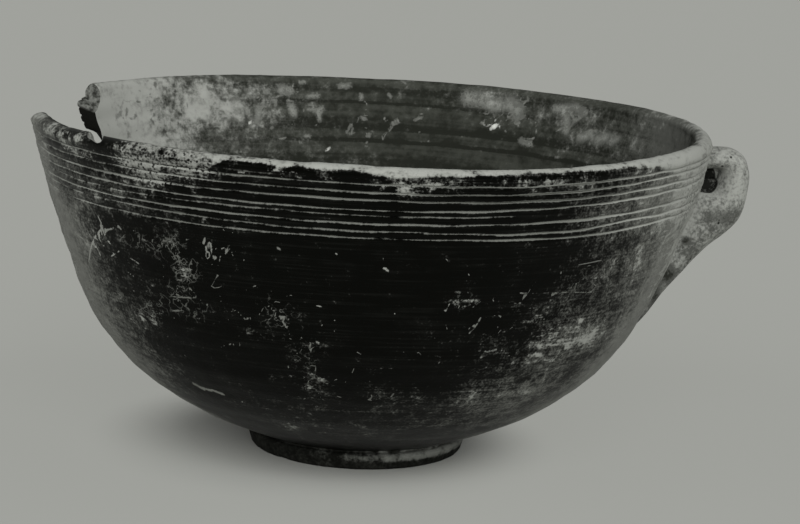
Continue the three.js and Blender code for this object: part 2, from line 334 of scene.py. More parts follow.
# Patches of dried haze, given the same way; those down the sides and low down are partly painted sheen,
# where the wall turns away from the camera or down toward the sheet
OUTSIDE_HAZE_AND_SHEEN = {
    "left edge sheen": (186, 68, 11, 34, 0.58),
    "left side sheen": (199, 61, 16, 24, 0.66),
    "left lines": (208, 88, 14, 10, 0.12),
    "left low lines": (224, 82, 13, 7, 0.18),
    "low left": (206, 33, 14, 9, 0.48),
    "low front": (262, 20, 40, 14, 0.22),
    "low right": (302, 30, 20, 14, 0.44),
    "right": (309, 61, 13, 19, 0.29),
    "right side sheen": (332, 58, 14, 40, 0.62),
    "right lines": (313, 88, 16, 10, 0.54),
    "back": (90, 50, 70, 50, 0.24),
}
# Strips of painted sheen down the two sides, along the outline that the camera sees: azimuths at the
# heights of STRIP_LEVELS, half width, strength
STRIP_LEVELS = (10, 20, 30, 50, 70, 90)
PAINTED_SHEEN_STRIPS = {
    "right strip": ((320, 331, 338, 345, 349, 352), 15, 1.25),
    "left strip": ((204, 193, 186, 179, 175, 172), 15, 1.15),
}
INSIDE_HAZE_AND_LIGHT = {
    "left": (112, 86, 22, 22, 0.35),
    "right": (38, 90, 16, 10, 0.26),
    # Painted light: the inside's far right is made paler where the lamps reach it little
    "far right, painted light": (6, 92, 16, 16, 0.9),
    "upper middle": (60, 95, 14, 5, 0.3),
    "dark middle": (64, 83, 16, 7, -0.16),
}
# Dark patches on the handle: distance from the axis, height, half width, half height, strength
HANDLE_SHADE = {
    "hip": (108, 72.5, 5.5, 4, 0.52),
    "under the eye": (102.5, 73, 2, 2.5, 0.30),
    "tail": (99, 61.5, 4, 5, 0.42),
    "spot": (96.3, 65.2, 1.3, 1.3, 0.9),
    "blotch": (91.8, 54.7, 2.6, 2.8, 1.0),
    "low blotch": (88.3, 48.1, 2.2, 5, 0.72),
    "tail end": (83, 41, 4, 6, 0.55),
    "arm root": (102.3, 90.5, 1.6, 4, 0.15),
    "beside the eye": (105.5, 84, 2.2, 4, 0.10),
}
ARM_PITS = (104, 91.5, 3, 3, 1.0)
# Patches where the crust is full of black pits, given the same way as the crust
PITTED = {
    "left lip": (230, 94.5, 11, 7, 0.95),
    "front lip": (274, 96, 24, 3, 0.5),
    "by the handle": (336, 84, 12, 12, 0.62),
}
# Marks left by roots on the outside: chains of azimuth and height, and the width of the mark
ROOT_MARKS = {
    "stem": (((203.5, 60), (205.9, 64.5), (208, 67.8), (210.2, 70.2), (213.3, 73.4), (212.2, 76)), 0.9),
    "left branch": (((200.3, 67.8), (204, 67.2), (205.9, 64.5)), 0.8),
    "fork": (((208, 67.8), (208.8, 66.5), (209.6, 64.3)), 0.7),
    "twig": (((210.6, 69.5), (211.7, 67)), 0.7),
    "right branch": (((214.3, 68.4), (212.6, 70.3), (213.7, 72.5), (216, 73.7)), 0.8),
    "stray": (((212.8, 64.6), (216.3, 67.3)), 0.6),
    "short stray": (((219, 66), (221, 65)), 0.6),
    "loop": (((236.5, 76), (235.9, 74), (237.3, 71.6), (238.4, 69.9)), 0.8),
    "loop side": (((236.5, 76), (237.6, 74.2), (237.3, 71.6)), 0.6),
    "left line": (((227, 57.1), (233.5, 58.4)), 0.7),
    "left dash": (((226, 52.5), (229.5, 53.8)), 0.8),
    "slant": (((247, 58.7), (248.7, 56.2), (250, 52.3)), 0.8),
    "low dash": (((223.6, 29.3), (225.4, 28.3)), 2.4),
    "low dash, right": (((226, 28.2), (228.6, 28.5), (231, 27.8)), 1.7),
    "long streak": (((290.3, 64.4), (298, 63.8), (306.7, 62.4)), 0.6),
    "upper streak": (((301, 71.2), (306.7, 71.8)), 0.45),
    "tangle tail": (((283.5, 56), (282, 52.6)), 0.7),
}
# Patches of the outside where thin rootlets left a tangle of threads
ROOTLETS = {
    "under the lines": (226, 72.5, 10, 4.5, 0.6),
    "left cluster": (231.5, 65.5, 4, 5, 0.55),
    "left": (228, 55, 8, 5, 0.5),
    "left tangle": (217, 48.5, 6, 6, 0.55),
    "by the roots": (208, 68, 8, 9, 0.5),
    "slanting": (248, 57, 5, 6, 0.45),
    "front": (253, 45, 5, 8, 0.45),
    "brushed mark": (282, 60, 6, 5, 0.4),
    "all over": (235, 62, 25, 18, 0.12),
}
# Blotches of lime on the inside: chains of azimuth and height, and width
INSIDE_BLOTCHES = {
    "left": (((111.6, 90.5), (111.6, 86.5)), 4),
    "drip": (((109.1, 88.8), (109.1, 87.6)), 2.0),
    "drip tip": (((108.9, 84.9), (108.8, 84)), 0.9),
    "pale": (((106.6, 87.8), (107, 84.6)), 3.2),
    "hook": (((103.8, 91.6), (102.6, 91.4), (102.8, 89.8)), 1.7),
    "upper": (((101.4, 94.9), (99.8, 94.5)), 4.6),
    "middle": (((99.4, 89.4), (99, 87.2)), 4),
    "crossbar": (((95.8, 88.6), (93, 89)), 2.6),
    "crossbar stem": (((94, 88.4), (93.6, 85.8)), 3),
    "dab": (((95.9, 92.8), (94, 93.2)), 2.8),
    "rim dab": (((97.4, 97.3), (96.6, 97.5)), 2),
    "rim dab, right": (((89.4, 96.4), (87.6, 96.8)), 2.8),
    "faint dab": (((85, 93.6), (85, 92.6)), 2.2),
    "low dab": (((84.6, 86.3), (84, 86.1)), 2),
    "low dab, left": (((96.7, 80), (95.9, 80)), 2.2),
    "low dab, right": (((87.5, 81.4), (86.7, 81.4)), 2),
    "wide patch": (((63, 95.2), (60, 95.4), (57.2, 93.6)), 7),
    "patch": (((54, 95), (52, 93), (52.2, 91.4)), 6.5),
    "upper patch": (((43.5, 95.1), (38.9, 96.4), (36.3, 95.2)), 4),
    "joining patch": (((40.5, 93), (39.6, 88.6)), 4),
    "right patch": (((35.6, 87.2), (33.4, 88.6)), 4.4),
    "right patch, middle": (((31, 87.4), (28.8, 89)), 4.6),
    "right patch, end": (((27, 87.6), (25.4, 89.4)), 3.2),
    "low smear": (((50, 83.5), (47.6, 82.8)), 2.6),
    "dash": (((17.9, 96.6), (14, 97.1), (9.9, 97.7)), 1.0),
}
# Where marks are whitest on the outside and on the inside, given as patches
OUTSIDE_WHITE = {
    "loop": (237, 73, 3, 5, 0.15),
    "roots": (209, 68, 9, 9, 0.4),
    "low dash": (228, 28, 5, 3, 0.15),
    "spots": (266, 66, 16, 14, 0.4),
}
INSIDE_WHITE = {
    "spot": (56.5, 86.8, 1.3, 2.0, 1.0),
    "low spot": (91.8, 75.9, 2.2, 2.2, 0.7),
    "drip": (108.8, 84.2, 0.7, 1.0, 0.8),
    "left": (116, 90, 12, 12, 0.12),
}
# Cracks in the crust on the inside: chains of azimuth and height
CRACKS = (
    ((144.7, 93.2), (143.2, 93.6), (141.8, 92.8)),
    ((138.9, 92.8), (137.2, 93.2), (135, 92.5)),
)
# Dabs of lime: on the outside and the inside, as azimuth, height and size
OUTSIDE_DABS = (
    (258.4, 75.2, 0.35), (277.3, 60, 0.4), (218, 74.4, 0.6), (266.5, 71.5, 0.6), (249.2, 75.4, 0.5),
)
INSIDE_DABS = ((56.5, 86.8, 1.3), (91.8, 75.9, 0.8), (73, 87.1, 1.0))
# Scattered flecks of lime: azimuth, height, half width in degrees, half height, number
INSIDE_FLECKS = {
    "right": (46, 90, 14, 6, 22),
    "middle": (80, 86, 14, 9, 18),
    "left": (106, 84, 9, 8, 8),
}
OUTSIDE_FLECKS = {
    "under the lines, left": (228, 72, 7, 4, 22),
    "left cluster": (232, 65, 3, 5, 12),
    "by the loop": (239, 74, 5, 4, 20),
    "far left": (205, 60, 6, 10, 10),
    "left": (224, 56, 8, 6, 16),
    "middle left": (238, 61, 8, 8, 18),
    "left tangle": (216, 48, 6, 6, 10),
    "slanting": (247, 56, 6, 6, 10),
    "front": (253, 48, 5, 5, 14),
    "front, left": (240, 47, 4, 3, 6),
    "low front": (254, 38, 5, 6, 22),
    "right tangle": (285, 57, 7, 6, 12),
    "brushed mark": (280, 62, 4, 2, 8),
    "smear": (303, 50, 10, 8, 24),
    "low right": (298, 31, 9, 4, 18),
    "low smear, left": (286, 31, 5, 4, 10),
    "low": (270, 33, 8, 4, 10),
    "by the foot": (245, 18, 6, 3, 8),
    "right": (300, 66, 10, 6, 12),
    "all over": (262, 55, 32, 20, 22),
}
# Dark smudges in the crust on the inside, given the same way
SMUDGES = {
    "left": (141, 87, 9, 7, 22),
    "right": (130, 88, 9, 8, 22),
}
FLECK_SEED = 7
SMUDGE_SEED = 9
# Strokes: shares of a mark's width that its core and reach take, and how far beyond it is still blended
STROKE_CORE = 0.35
STROKE_REACH = 0.45
DAB_CORE = 0.65
DAB_REACH = 1.3
FLECK_REACH = 0.3
OUTSIDE_MARGIN = 1.0
INSIDE_MARGIN = 1.8
# Flecks: half widths, lengths, scatter in half widths of a patch, and degrees for a millimetre of length
THIN_FLECKS = (0.08, 0.2)
WIDE_FLECKS = (0.25, 0.6)
FLECK_LENGTHS = (0.2, 1.5)
FLECK_SPREAD = 0.6
FLECK_TURN = 0.7
# Scars in the crust: half width and reach
CRACK_HALF_WIDTH = 0.35
CRACK_REACH = 4
SMUDGE_REACH = 2
# Bend of a stroke's way off the wall, for each millimetre beyond its reach, the least of it where two meet
# and how far from both that starts. A way that runs deeper into the wall is bent inward
BEND = 3
BORDER_SPARE = 0.8
BORDER_GAP = 0.6
DEEP_WAY = 2
# Where the inside's finish takes over: depth past the wall's middle, and height under the floor
INNER_EDGE = (-0.8, 0.8)
FLOOR_MARGIN = 2
# Thin film of haze all over the inside, and how pale its blotches are at least
INSIDE_FILM = 0.1
INSIDE_PALE = 0.1
# Heights of the dark rings that the wheel left on the inside, the last one faint
INSIDE_RINGS = (83.4, 79.3, 91.4)
# Wear of the foot's face and its seam: a centre and the turns from it at which wear starts and is full
FOOT_WEAR = ((275, -70, 30), (340, 30, 0))
FOOT_WEAR_RISE = (1.2, 3.4)
FOOT_LEAST_WEAR = 0.12
FOOT_WEAR_SHARE = 0.74
# The seam is made paler than its wear alone: painted light that lifts the shade in the crease under the
# body
SEAM_WEAR = (262, -40, 20)
SEAM_LEAST_WEAR_AND_LIGHT = 0.2
SEAM_WEAR_AND_LIGHT_SHARE = 0.4
# Dark patches fade on the far side of the handle: the share left, and the depths where they fade
FAR_SHADE = 0.3
SHADE_DEPTH = (4, -3)

# Colours, as they are seen in plain light
WHITE = (1, 1, 1)
SLIP = (0.0012, 0.0013, 0.0009)
RUBBED_SLIP = (0.0036, 0.0038, 0.0031)
# The haze colours also paint the sheen down the sides and low down on the outside
HAZE_AND_SHEEN = (0.162, 0.166, 0.149)
THIN_HAZE_AND_SHEEN = (0.080, 0.082, 0.073)
INSIDE_SLIP = (0.034, 0.036, 0.030)
INSIDE_DARK = (0.013, 0.014, 0.011)
LIME = (0.245, 0.252, 0.230)
GREY_LIME = (0.105, 0.108, 0.097)
LINE_LIME = (0.118, 0.122, 0.109)
WHITE_LIME = (0.50, 0.51, 0.47)
CLAY = (0.12, 0.124, 0.112)
GRIT = (0.020, 0.021, 0.018)
# Near-black colour of the break's faces below the drop
BREAK_DARK_BELOW = (0.006, 0.006, 0.005)
HANDLE_LIME = (0.250, 0.257, 0.235)
HANDLE_GREY = (0.070, 0.072, 0.065)
HANDLE_SLIP = (0.022, 0.023, 0.019)
# Painted shade in the eye, near black
PAINTED_EYE_SHADE = (0.012, 0.0124, 0.0107)
EYE_EARTH = (0.100, 0.103, 0.093)
FOOT_LIME = (0.125, 0.129, 0.116)
FOOT_GREY = (0.030, 0.031, 0.027)
FOOT_SLIP = (0.016, 0.0165, 0.014)
FOOT_DARK = (0.005, 0.0052, 0.0043)
PAPER = (0.352, 0.358, 0.333)
SHEET = (0.370, 0.376, 0.350)
BUMP_STRENGTH = 0.6

# Sheet, in metres, and the shadow that it keeps by the foot: its middle, where it ends, and how plain the
# sheet is beyond
SHEET_REACH = 8.0
SHADOW_MIDDLE = (-0.010, 0.003, 0)
SHADOW_EDGE = (0.037, 0.073)
PLAIN_SHARE = 0.85

# Camera, in the frame of the handle: it stands at the front, a little above the rim, and is held tilted
CAMERA_TURN = -8
CAMERA_RISE = 10.9034
CAMERA_DISTANCE = 715.78
CAMERA_ROLL = 2.8247
AIM_SIDE = 10.73
AIM_HEIGHT = 55.84
FOCAL_SHARE = 3.0
SENSOR = 36

# Lamps: azimuth, rise in degrees and strength. The room is evenly lit, and dark behind the camera
LAMPS = {
    "front_light": (268, 25, 3.3),
    "right_light": (340, 35, 1.2),
    "left_light": (208, 30, 1.3),
}
LAMP_SPREAD = 50
AMBIENT = 0.12
DARK_SIDE = 0.4


# Curves, patches and noise

def bernstein(corners, share):
    """Point on a Bezier curve: every corner weighted by its Bernstein share."""
    corners = np.asarray(corners, float)
    degree = len(corners) - 1
    weights = [math.comb(degree, i) * share**i * (1 - share) ** (degree - i) for i in range(degree + 1)]
    return np.stack(weights, -1) @ corners


def spline(points, share):
    """Smooth curve through points: on each span a cubic whose slopes follow the neighbouring points."""
    points = np.asarray(points, float)
    padded = np.concatenate([2 * points[:1] - points[1:2], points, 2 * points[-1:] - points[-2:-1]])
    place = np.clip(share, 0, 1) * (len(points) - 1)
    span = np.minimum(place.astype(int), len(points) - 2)
    part = (place - span)[:, None]
    before, start, end, after = (padded[span + i] for i in range(4))
    bend = 2 * before - 5 * start + 4 * end - after
    twist = 3 * start - before - 3 * end + after
    return start + 0.5 * part * (end - before + part * (bend + part * twist))


def unit(vectors):
    """Vectors scaled to a length of 1."""
    return vectors / np.linalg.norm(vectors, axis=-1, keepdims=True)


def ramp(value, low, high):
    """Share from 0 at low to 1 at high, level at both ends; low may be above high."""
    share = np.clip((value - low) / (high - low), 0, 1)
    return share * share * (3 - 2 * share)


def turn_gap(azimuth, centre):
    """Signed turn from a centre to an azimuth, within half a turn."""
    return (azimuth - centre + 180) % 360 - 180


def turn_ramp(azimuth, centre, low, high):
    """Share from 0 to 1 between two turns from a centre."""
    return ramp(turn_gap(azimuth, centre), low, high)


def near_turn(azimuth, centre, half_turn):
    """Share that falls off from 1 at a centre with the squared turn in half widths."""
    return np.exp(-((turn_gap(azimuth, centre) / half_turn) ** 2))


def wave(azimuth, parts, number=1):
    """Sum of sines round the axis, each given by its size, its crests in a turn and its start in degrees,
    which a number multiplies."""
    return sum(
        size * np.sin(np.radians(crests * azimuth + start * number)) for size, crests, start in parts
    )


def spiral(azimuth, height, ridges):
    """Sum of spiral ridges, each a sine given by its size, its rise in a radian and its starts."""
    return sum(size * np.sin(height / rise + starts * np.radians(azimuth)) for size, rise, starts in ridges)


def round_table(azimuth, table):
    """Value at an azimuth, straight between the rows of a table that closes on itself."""
    turns, values = np.transpose(table)
    return np.interp(azimuth, turns, values, period=360)


def patch(across, up, place, gap=turn_gap):
    """Strength of a soft oval patch: falls off with the squared distance in half widths."""
    centre, level, half_width, half_height, strength = place
    distance = (gap(across, centre) / half_width) ** 2 + ((up - level) / half_height) ** 2
    return strength * np.exp(-distance)


def summed(across, up, places, gap=turn_gap):
    """Sum of the soft patches in a table."""
    return sum(patch(across, up, place, gap) for place in places.values())


def strongest(mask, azimuth, height, places):
    """A mask, raised to every soft patch in a table that is stronger."""
    for place in places.values():
        mask = np.maximum(mask, patch(azimuth, height, place))
    return mask


def lattice(cells, seed):
    """Fixed number from 0 to 1 for each lattice cell, mixed from its three whole numbers."""
    mixed = cells @ np.array(CELL_FACTORS) + seed * SEED_FACTOR
    mixed = (mixed ^ (mixed >> 13)) * MIX_FACTOR
    return ((mixed ^ (mixed >> 16)) & 0xFFFF) / 0xFFFF


def lumps(points, cell, seed):
    """Smooth noise from -1 to 1: a lattice's numbers at the eight corners round a point, by closeness."""
    places = points / cell
    low = np.floor(places).astype(np.int64)
    share = ramp(places - low, 0, 1)
    total = 0
    for corner in np.ndindex(2, 2, 2):
        total = total + np.where(corner, share, 1 - share).prod(-1) * lattice(low + np.array(corner), seed)
    return 2 * total - 1


def rough(points, layers, seed=0):
    """Sum of smooth noises, each given by its height, its size and its own seed."""
    return sum(height * lumps(points, cell, seed + own) for height, cell, own in layers)


# The thrown wall

def outer_wall(share):
    """Outside of the wall, radius and height, and its unit normal."""
    points = bernstein(WALL_CORNERS, share)
    slope = unit(bernstein(3 * np.diff(WALL_CORNERS, axis=0), share))
    return points, np.stack([slope[:, 1], -slope[:, 0]], -1)


def inner_wall(share):
    """Inside of the wall: the outside moved in by the wall's thickness, level with it at the lip."""
    points, normal = outer_wall(share)
    level = share[:, None] ** 4
    across = unit(normal * (1 - level) + np.array([1.0, 0.0]) * level)
    thickness = LOWER_WALL + (LIP_WALL - LOWER_WALL) * share
    return points - across * thickness[:, None]


def floor_curve(share):
    """Floor from the inside wall to the axis: runs out along the wall's slope and levels off."""
    start = inner_wall(np.array([0.0]))[0]
    slope = np.subtract(WALL_CORNERS[1], WALL_CORNERS[0])
    bend = (start[0] - (start[1] - FLOOR_HEIGHT) * slope[0] / slope[1], FLOOR_HEIGHT)
    return bernstein((start, bend, (0, FLOOR_HEIGHT)), share)


DENSE = np.linspace(0, 1, 2001)
OUTER_DENSE = outer_wall(DENSE)[0]
INNER_DENSE = np.concatenate([floor_curve(DENSE)[::-1], inner_wall(DENSE)])


def outer_radius(height):
    """Radius of the outside at a height."""
    return np.interp(height, OUTER_DENSE[:, 1], OUTER_DENSE[:, 0])


def inner_radius(height):
    """Radius of the inside at a height, floor included."""
    return np.interp(height, INNER_DENSE[:, 1], INNER_DENSE[:, 0])


def wall_profile():
    """Outline of the thrown piece from the middle of its underside, up the outside, over the lip and
    down the inside to the middle of the floor. Gives points, unit normals and the section of each row."""
    band_low = min(heights[0] for heights, _, _ in LINES.values()) - BAND_MARGIN
    band_rows = round((LIP_HEIGHT - band_low) / BAND_STEP)
    band = np.interp(np.linspace(band_low, LIP_HEIGHT, band_rows), OUTER_DENSE[:, 1], DENSE)
    below = np.linspace(0, band[0], WALL_ROWS)[:-1]
    angle = np.linspace(0, math.pi, LIP_ROWS + 2)[1:-1]
    lip_radius = RIM_RADIUS - LIP_WALL / 2 * (1 - np.cos(angle))
    pad = [(radius, PAD_RECESS) for radius in np.linspace(AXIS_GAP, PAD_RADIUS - PAD_CHAMFER, PAD_ROWS)]
    pad_side = [(PAD_RADIUS, PAD_RECESS + PAD_CHAMFER), (PAD_RADIUS, SEAT_HEIGHT - SEAT_CORNER[1])]
    seat = [(PAD_RADIUS + SEAT_CORNER[0], SEAT_HEIGHT), (SEAT_RADIUS - SEAT_EDGE, SEAT_HEIGHT)]
    sections = {
        "under": np.array([*pad, *pad_side, *seat]),
        "outside": outer_wall(np.concatenate([below, band]))[0],
        "lip": np.stack([lip_radius, LIP_HEIGHT + LIP_ROUND * np.sin(angle)], -1),
        "inside": inner_wall(1 - np.linspace(0, 1, INSIDE_ROWS) ** INSIDE_CROWDING),
        "floor": floor_curve(np.linspace(0, FLOOR_END, FLOOR_ROWS)[1:]),
    }
    points = np.concatenate(list(sections.values()))
    slope = unit(np.gradient(points, axis=0))
    normals = np.stack([slope[:, 1], -slope[:, 0]], -1)
    names = np.concatenate([[name] * len(rows) for name, rows in sections.items()])
    return points, normals, names


def line_depth(azimuth, height):
    """Depth of the incised lines: round-bottomed grooves that follow each line's heights."""
    depth = np.zeros(np.broadcast(azimuth, height).shape)
    turn = (azimuth - LINE_TURNS[0]) % 360 + LINE_TURNS[0]
    turns = (*LINE_TURNS, LINE_TURNS[0] + 360)
    for number, (heights, span, cut) in enumerate(LINES.values()):
        middle = np.interp(turn, turns, (*heights, heights[0])) + wave(turn, LINE_WANDER, number)
        width = LINE_HALF_WIDTH * (1 + wave(turn, LINE_SWELL, number))
        strength = cut
        if span:
            start, end = span
            half = (end - start) % 360 / 2
            strength = cut * ramp(half - abs(turn_gap(turn, start + half)), -LINE_FADE, LINE_FADE)
        groove = np.exp(-GROOVE_STEEPNESS * ((height - middle) / width) ** 2)
        depth = np.maximum(depth, strength * groove)
    return depth


def warp(azimuth, height):
    """How far the wall was pulled off the round: out at the handle, in by the break and below it, and a
    little oval."""
    pulled = sum(
        np.interp(height, heights, amounts) * near_turn(azimuth, centre, half_turn)
        for centre, half_turn, heights, amounts in PULLS.values()
    )
    pressed = RIM_PRESS * near_turn(azimuth, *RIM_PRESS_TURN) * ramp(height, *RIM_PRESS_RISE)
    return pulled - pressed + ramp(height, *OVAL_RISE) * wave(azimuth, OVAL)


def crest_lift(azimuth, height):
    """The crest's rise and fall round the rim, fading out below the lip."""
    dip = CREST_DIP * near_turn(azimuth, *CREST_DIP_TURN)
    return (wave(azimuth, CREST_WAVES) - dip) * ramp(height, HEIGHT - CREST_FADE, HEIGHT)


def crust_and_sheen_outside(azimuth, height):
    """Lime crust on the outside: the lip's band and the patches below it, one of them painted sheen on the
    left edge.
    """
    reach = round_table(azimuth, LIP_REACH)
    edge = ramp(HEIGHT - height, reach * LIP_EDGE_START, reach + LIP_EDGE_SPREAD)
    band = round_table(azimuth, LIP_CRUST) * (1 - edge)
    return strongest(band, azimuth, height, OUTSIDE_CRUST_AND_SHEEN)


def crust_inside(azimuth, height):
    """Lime crust on the inside: the lip's band, thinner there, and the patches below it."""
    edge = ramp(HEIGHT - height, *INSIDE_LIP_EDGE)
    band = INSIDE_LIP_SHARE * round_table(azimuth, LIP_CRUST) * (1 - edge)
    return strongest(band, azimuth, height, INSIDE_CRUST)


def haze_and_sheen_outside(azimuth, height):
    """Dried haze and painted sheen on the outside: the sum of its soft patches, partly painted sheen, and
    its strips of painted sheen.
    """
    haze_and_painted_light = summed(azimuth, height, OUTSIDE_HAZE_AND_SHEEN)
    for turns, half_turn, strength in PAINTED_SHEEN_STRIPS.values():
        middle = np.interp(height, STRIP_LEVELS, turns)
        haze_and_painted_light = haze_and_painted_light + strength * near_turn(azimuth, middle, half_turn)
    return haze_and_painted_light


def haze_and_light_inside(azimuth, height):
    """Dried haze on the inside: a thin film and the sum of its soft patches, one of them painted light on
    the far right, where the lamps reach little.
    """
    return INSIDE_FILM + summed(azimuth, height, INSIDE_HAZE_AND_LIGHT)


def turned_points(azimuth, radius, height):
    """Points at azimuths, radii and heights."""
    angle = np.radians(azimuth)
    return np.stack([radius * np.cos(angle), radius * np.sin(angle), height], -1)


def turned_outline(azimuth, profile):
    """Azimuth, radius and height at every place of an outline turned round the axis."""
    shape = (len(profile), len(azimuth))
    return (np.broadcast_to(values, shape) for values in (azimuth, profile[:, :1], profile[:, 1:]))


def azimuth_of(points):
    """Azimuth of points, from 0 to 360."""
    return np.degrees(np.arctan2(points[..., 1], points[..., 0])) % 360


def wall_grid():
    """Skin of the thrown piece: the outline turned round the axis and moved along its normals by the
    warp, the wheel's ridges, the incised lines, worn lumps and the crust."""
    profile, normals, sections = wall_profile()
    ends = (FRONT_START, FRONT_END, BACK_END, FRONT_START + 360)
    columns = (FRONT_COLUMNS, BACK_COLUMNS, BREAK_COLUMNS)
    azimuth = np.concatenate([np.linspace(*ends[i : i + 2], columns[i], endpoint=False) for i in range(3)])
    turn, radius, height = turned_outline(azimuth, profile)
    nominal = turned_points(turn, radius, height)
    lip = (sections == "lip")[:, None]
    side = (sections == "outside")[:, None]
    inside = np.isin(sections, ["inside", "floor"])[:, None]
    seen = side | lip | inside
    ridges = spiral(turn, height, WHEEL_RIDGES) * ramp(height - SEAT_HEIGHT, *RIDGE_RISE)
    thrown = spiral(turn, height, THROWING_RIDGES) * ramp(HEIGHT - height, *THROWING_DROPS)
    nicks = NICK_DEPTH * ramp(lumps(nominal, NICK_SIZE, NICK_SEED), *NICK_LEVELS)
    crust = np.where(inside, crust_inside(turn, height), crust_and_sheen_outside(turn, height))
    raised = CRUST_THICKNESS * ramp(crust + rough(nominal, CRUST_LUMPS), *CRUST_LEVELS)
    relief = seen * (rough(nominal, WALL_LUMPS) + raised) + (side | lip) * ridges + inside * thrown
    relief = relief - side * line_depth(turn, height) - lip * nicks
    moved_radius = radius + normals[:, :1] * relief + seen * warp(turn, height)
    moved_height = height + normals[:, 1:] * relief + seen * crest_lift(turn, height)
    return turned_points(turn, moved_radius, moved_height)


# The missing pieces of the rim

def break_grid(outside, inside, seed):
    """Skin of the missing piece: outlines of azimuth and drop on both sides of the wall, carried on
    straight through them to clear air on either side, and roughened by lumps."""
    clear = 2 * LIP_WALL
    sides = ([(e[0][0], -clear), *e, (e[-1][0], -clear), (e[0][0], -clear)] for e in (inside, outside))
    outlines = np.array(list(sides), float)
    flat = outlines[1] * (math.radians(1) * RIM_RADIUS, 1)
    travel = np.concatenate([[0], np.cumsum(np.linalg.norm(np.diff(flat, axis=0), axis=1))])
    along = np.linspace(0, travel[-1], round(travel[-1] / BREAK_STEP) + 1)[:-1]
    within, without = (
        np.stack([np.interp(along, travel, outline[:, i]) for i in range(2)], -1) for outline in outlines
    )
    across = np.arange(-0.5, 1.5, BREAK_STEP / LIP_WALL)
    through = np.concatenate([BREAK_ENDS[:1], across, BREAK_ENDS[1:]])[:, None, None]
    place = within + (without - within) * np.clip(through, across[0], across[-1])
    height = HEIGHT - place[..., 1]
    low = inner_radius(np.minimum(height, LIP_HEIGHT))
    radius = low + (outer_radius(np.minimum(height, LIP_HEIGHT)) - low) * through[..., 0]
    grid = turned_points(place[..., 0], radius, height)
    lumpy = np.stack([rough(grid, BREAK_LUMPS, seed + i) for i in range(3)], -1)
    near_lip = ramp(place[..., 1:], *BREAK_ROUGH_DROPS)
    return grid + (BREAK_SMOOTH_SHARE + (1 - BREAK_SMOOTH_SHARE) * near_lip) * lumpy


# The foot and its joint

def foot_grid():
    """Skin of the foot ring: a closed outline with rounded edges turned round the axis, with a worn,
    slightly wavy outer face."""
    bore = FOOT_RADIUS - FOOT_RING_WIDTH
    arc = np.linspace(0, math.pi / 2, FOOT_ARC_ROWS)
    low = np.stack([np.sin(arc), -np.cos(arc)], -1) * FOOT_EDGE_ROUND
    low += (FOOT_RADIUS - FOOT_EDGE_ROUND, FOOT_EDGE_ROUND)
    high = np.stack([np.cos(arc), np.sin(arc)], -1) * FOOT_EDGE_ROUND
    high += (FOOT_TOP_RADIUS - FOOT_EDGE_ROUND, FOOT_HEIGHT - FOOT_EDGE_ROUND)
    rise = np.linspace(low[-1], high[0], FOOT_RISE_ROWS)[1:-1]
    foot_edge = bore + FOOT_INNER_TAPER
    rest = np.linspace((foot_edge + FOOT_BORE_CHAMFER, 0), low[0], FOOT_REST_ROWS)[:-1]
    wall = np.linspace((bore, FOOT_HEIGHT), (foot_edge, FOOT_BORE_CHAMFER), FOOT_BORE_ROWS)
    top = np.linspace(high[-1], (bore, FOOT_HEIGHT), FOOT_TOP_ROWS)[1:-1]
    profile = np.concatenate([wall, rest, low, rise, high, top])
    turn, radius, height = turned_outline(FOOT_TURNS, profile)
    nominal = turned_points(turn, radius, height)
    face = ramp(radius - FOOT_RADIUS, *FOOT_FACE)
    hollows = ramp(lumps(nominal, FOOT_CHIP_SIZE, FOOT_CHIP_SEED), *FOOT_CHIP_LEVELS)
    chipped = FOOT_CHIP * hollows * ramp(height, *FOOT_CHIP_RISE)
    settled = wave(turn, FOOT_SETTLING) * ramp(height, FOOT_SETTLED_FROM, FOOT_HEIGHT)
    moved_radius = radius + face * (rough(nominal, FOOT_LUMPS) - chipped)
    return turned_points(turn, moved_radius, np.maximum(height + face * settled, 0))


def seam_grid():
    """Skin of the slip smeared round the foot's joint: a bead of oval section, uneven round its ring."""
    angle = np.linspace(0, 2 * math.pi, SEAM_AROUND + 1)[-2::-1]
    swell = 1 + wave(FOOT_TURNS, SEAM_WAVES)
    radius = SEAT_RADIUS - SEAM_INSET + SEAM_HALF_WIDTH * swell * np.cos(angle)[:, None]
    height = SEAT_HEIGHT - SEAM_SINK + SEAM_HALF_HEIGHT * swell * np.sin(angle)[:, None]
    turn = np.broadcast_to(FOOT_TURNS, radius.shape)
    nominal = turned_points(turn, radius, height)
    moved_radius = radius + rough(nominal, SEAM_OUT_LUMPS)
    return turned_points(turn, moved_radius, height + rough(nominal, SEAM_UP_LUMPS))


# The handle

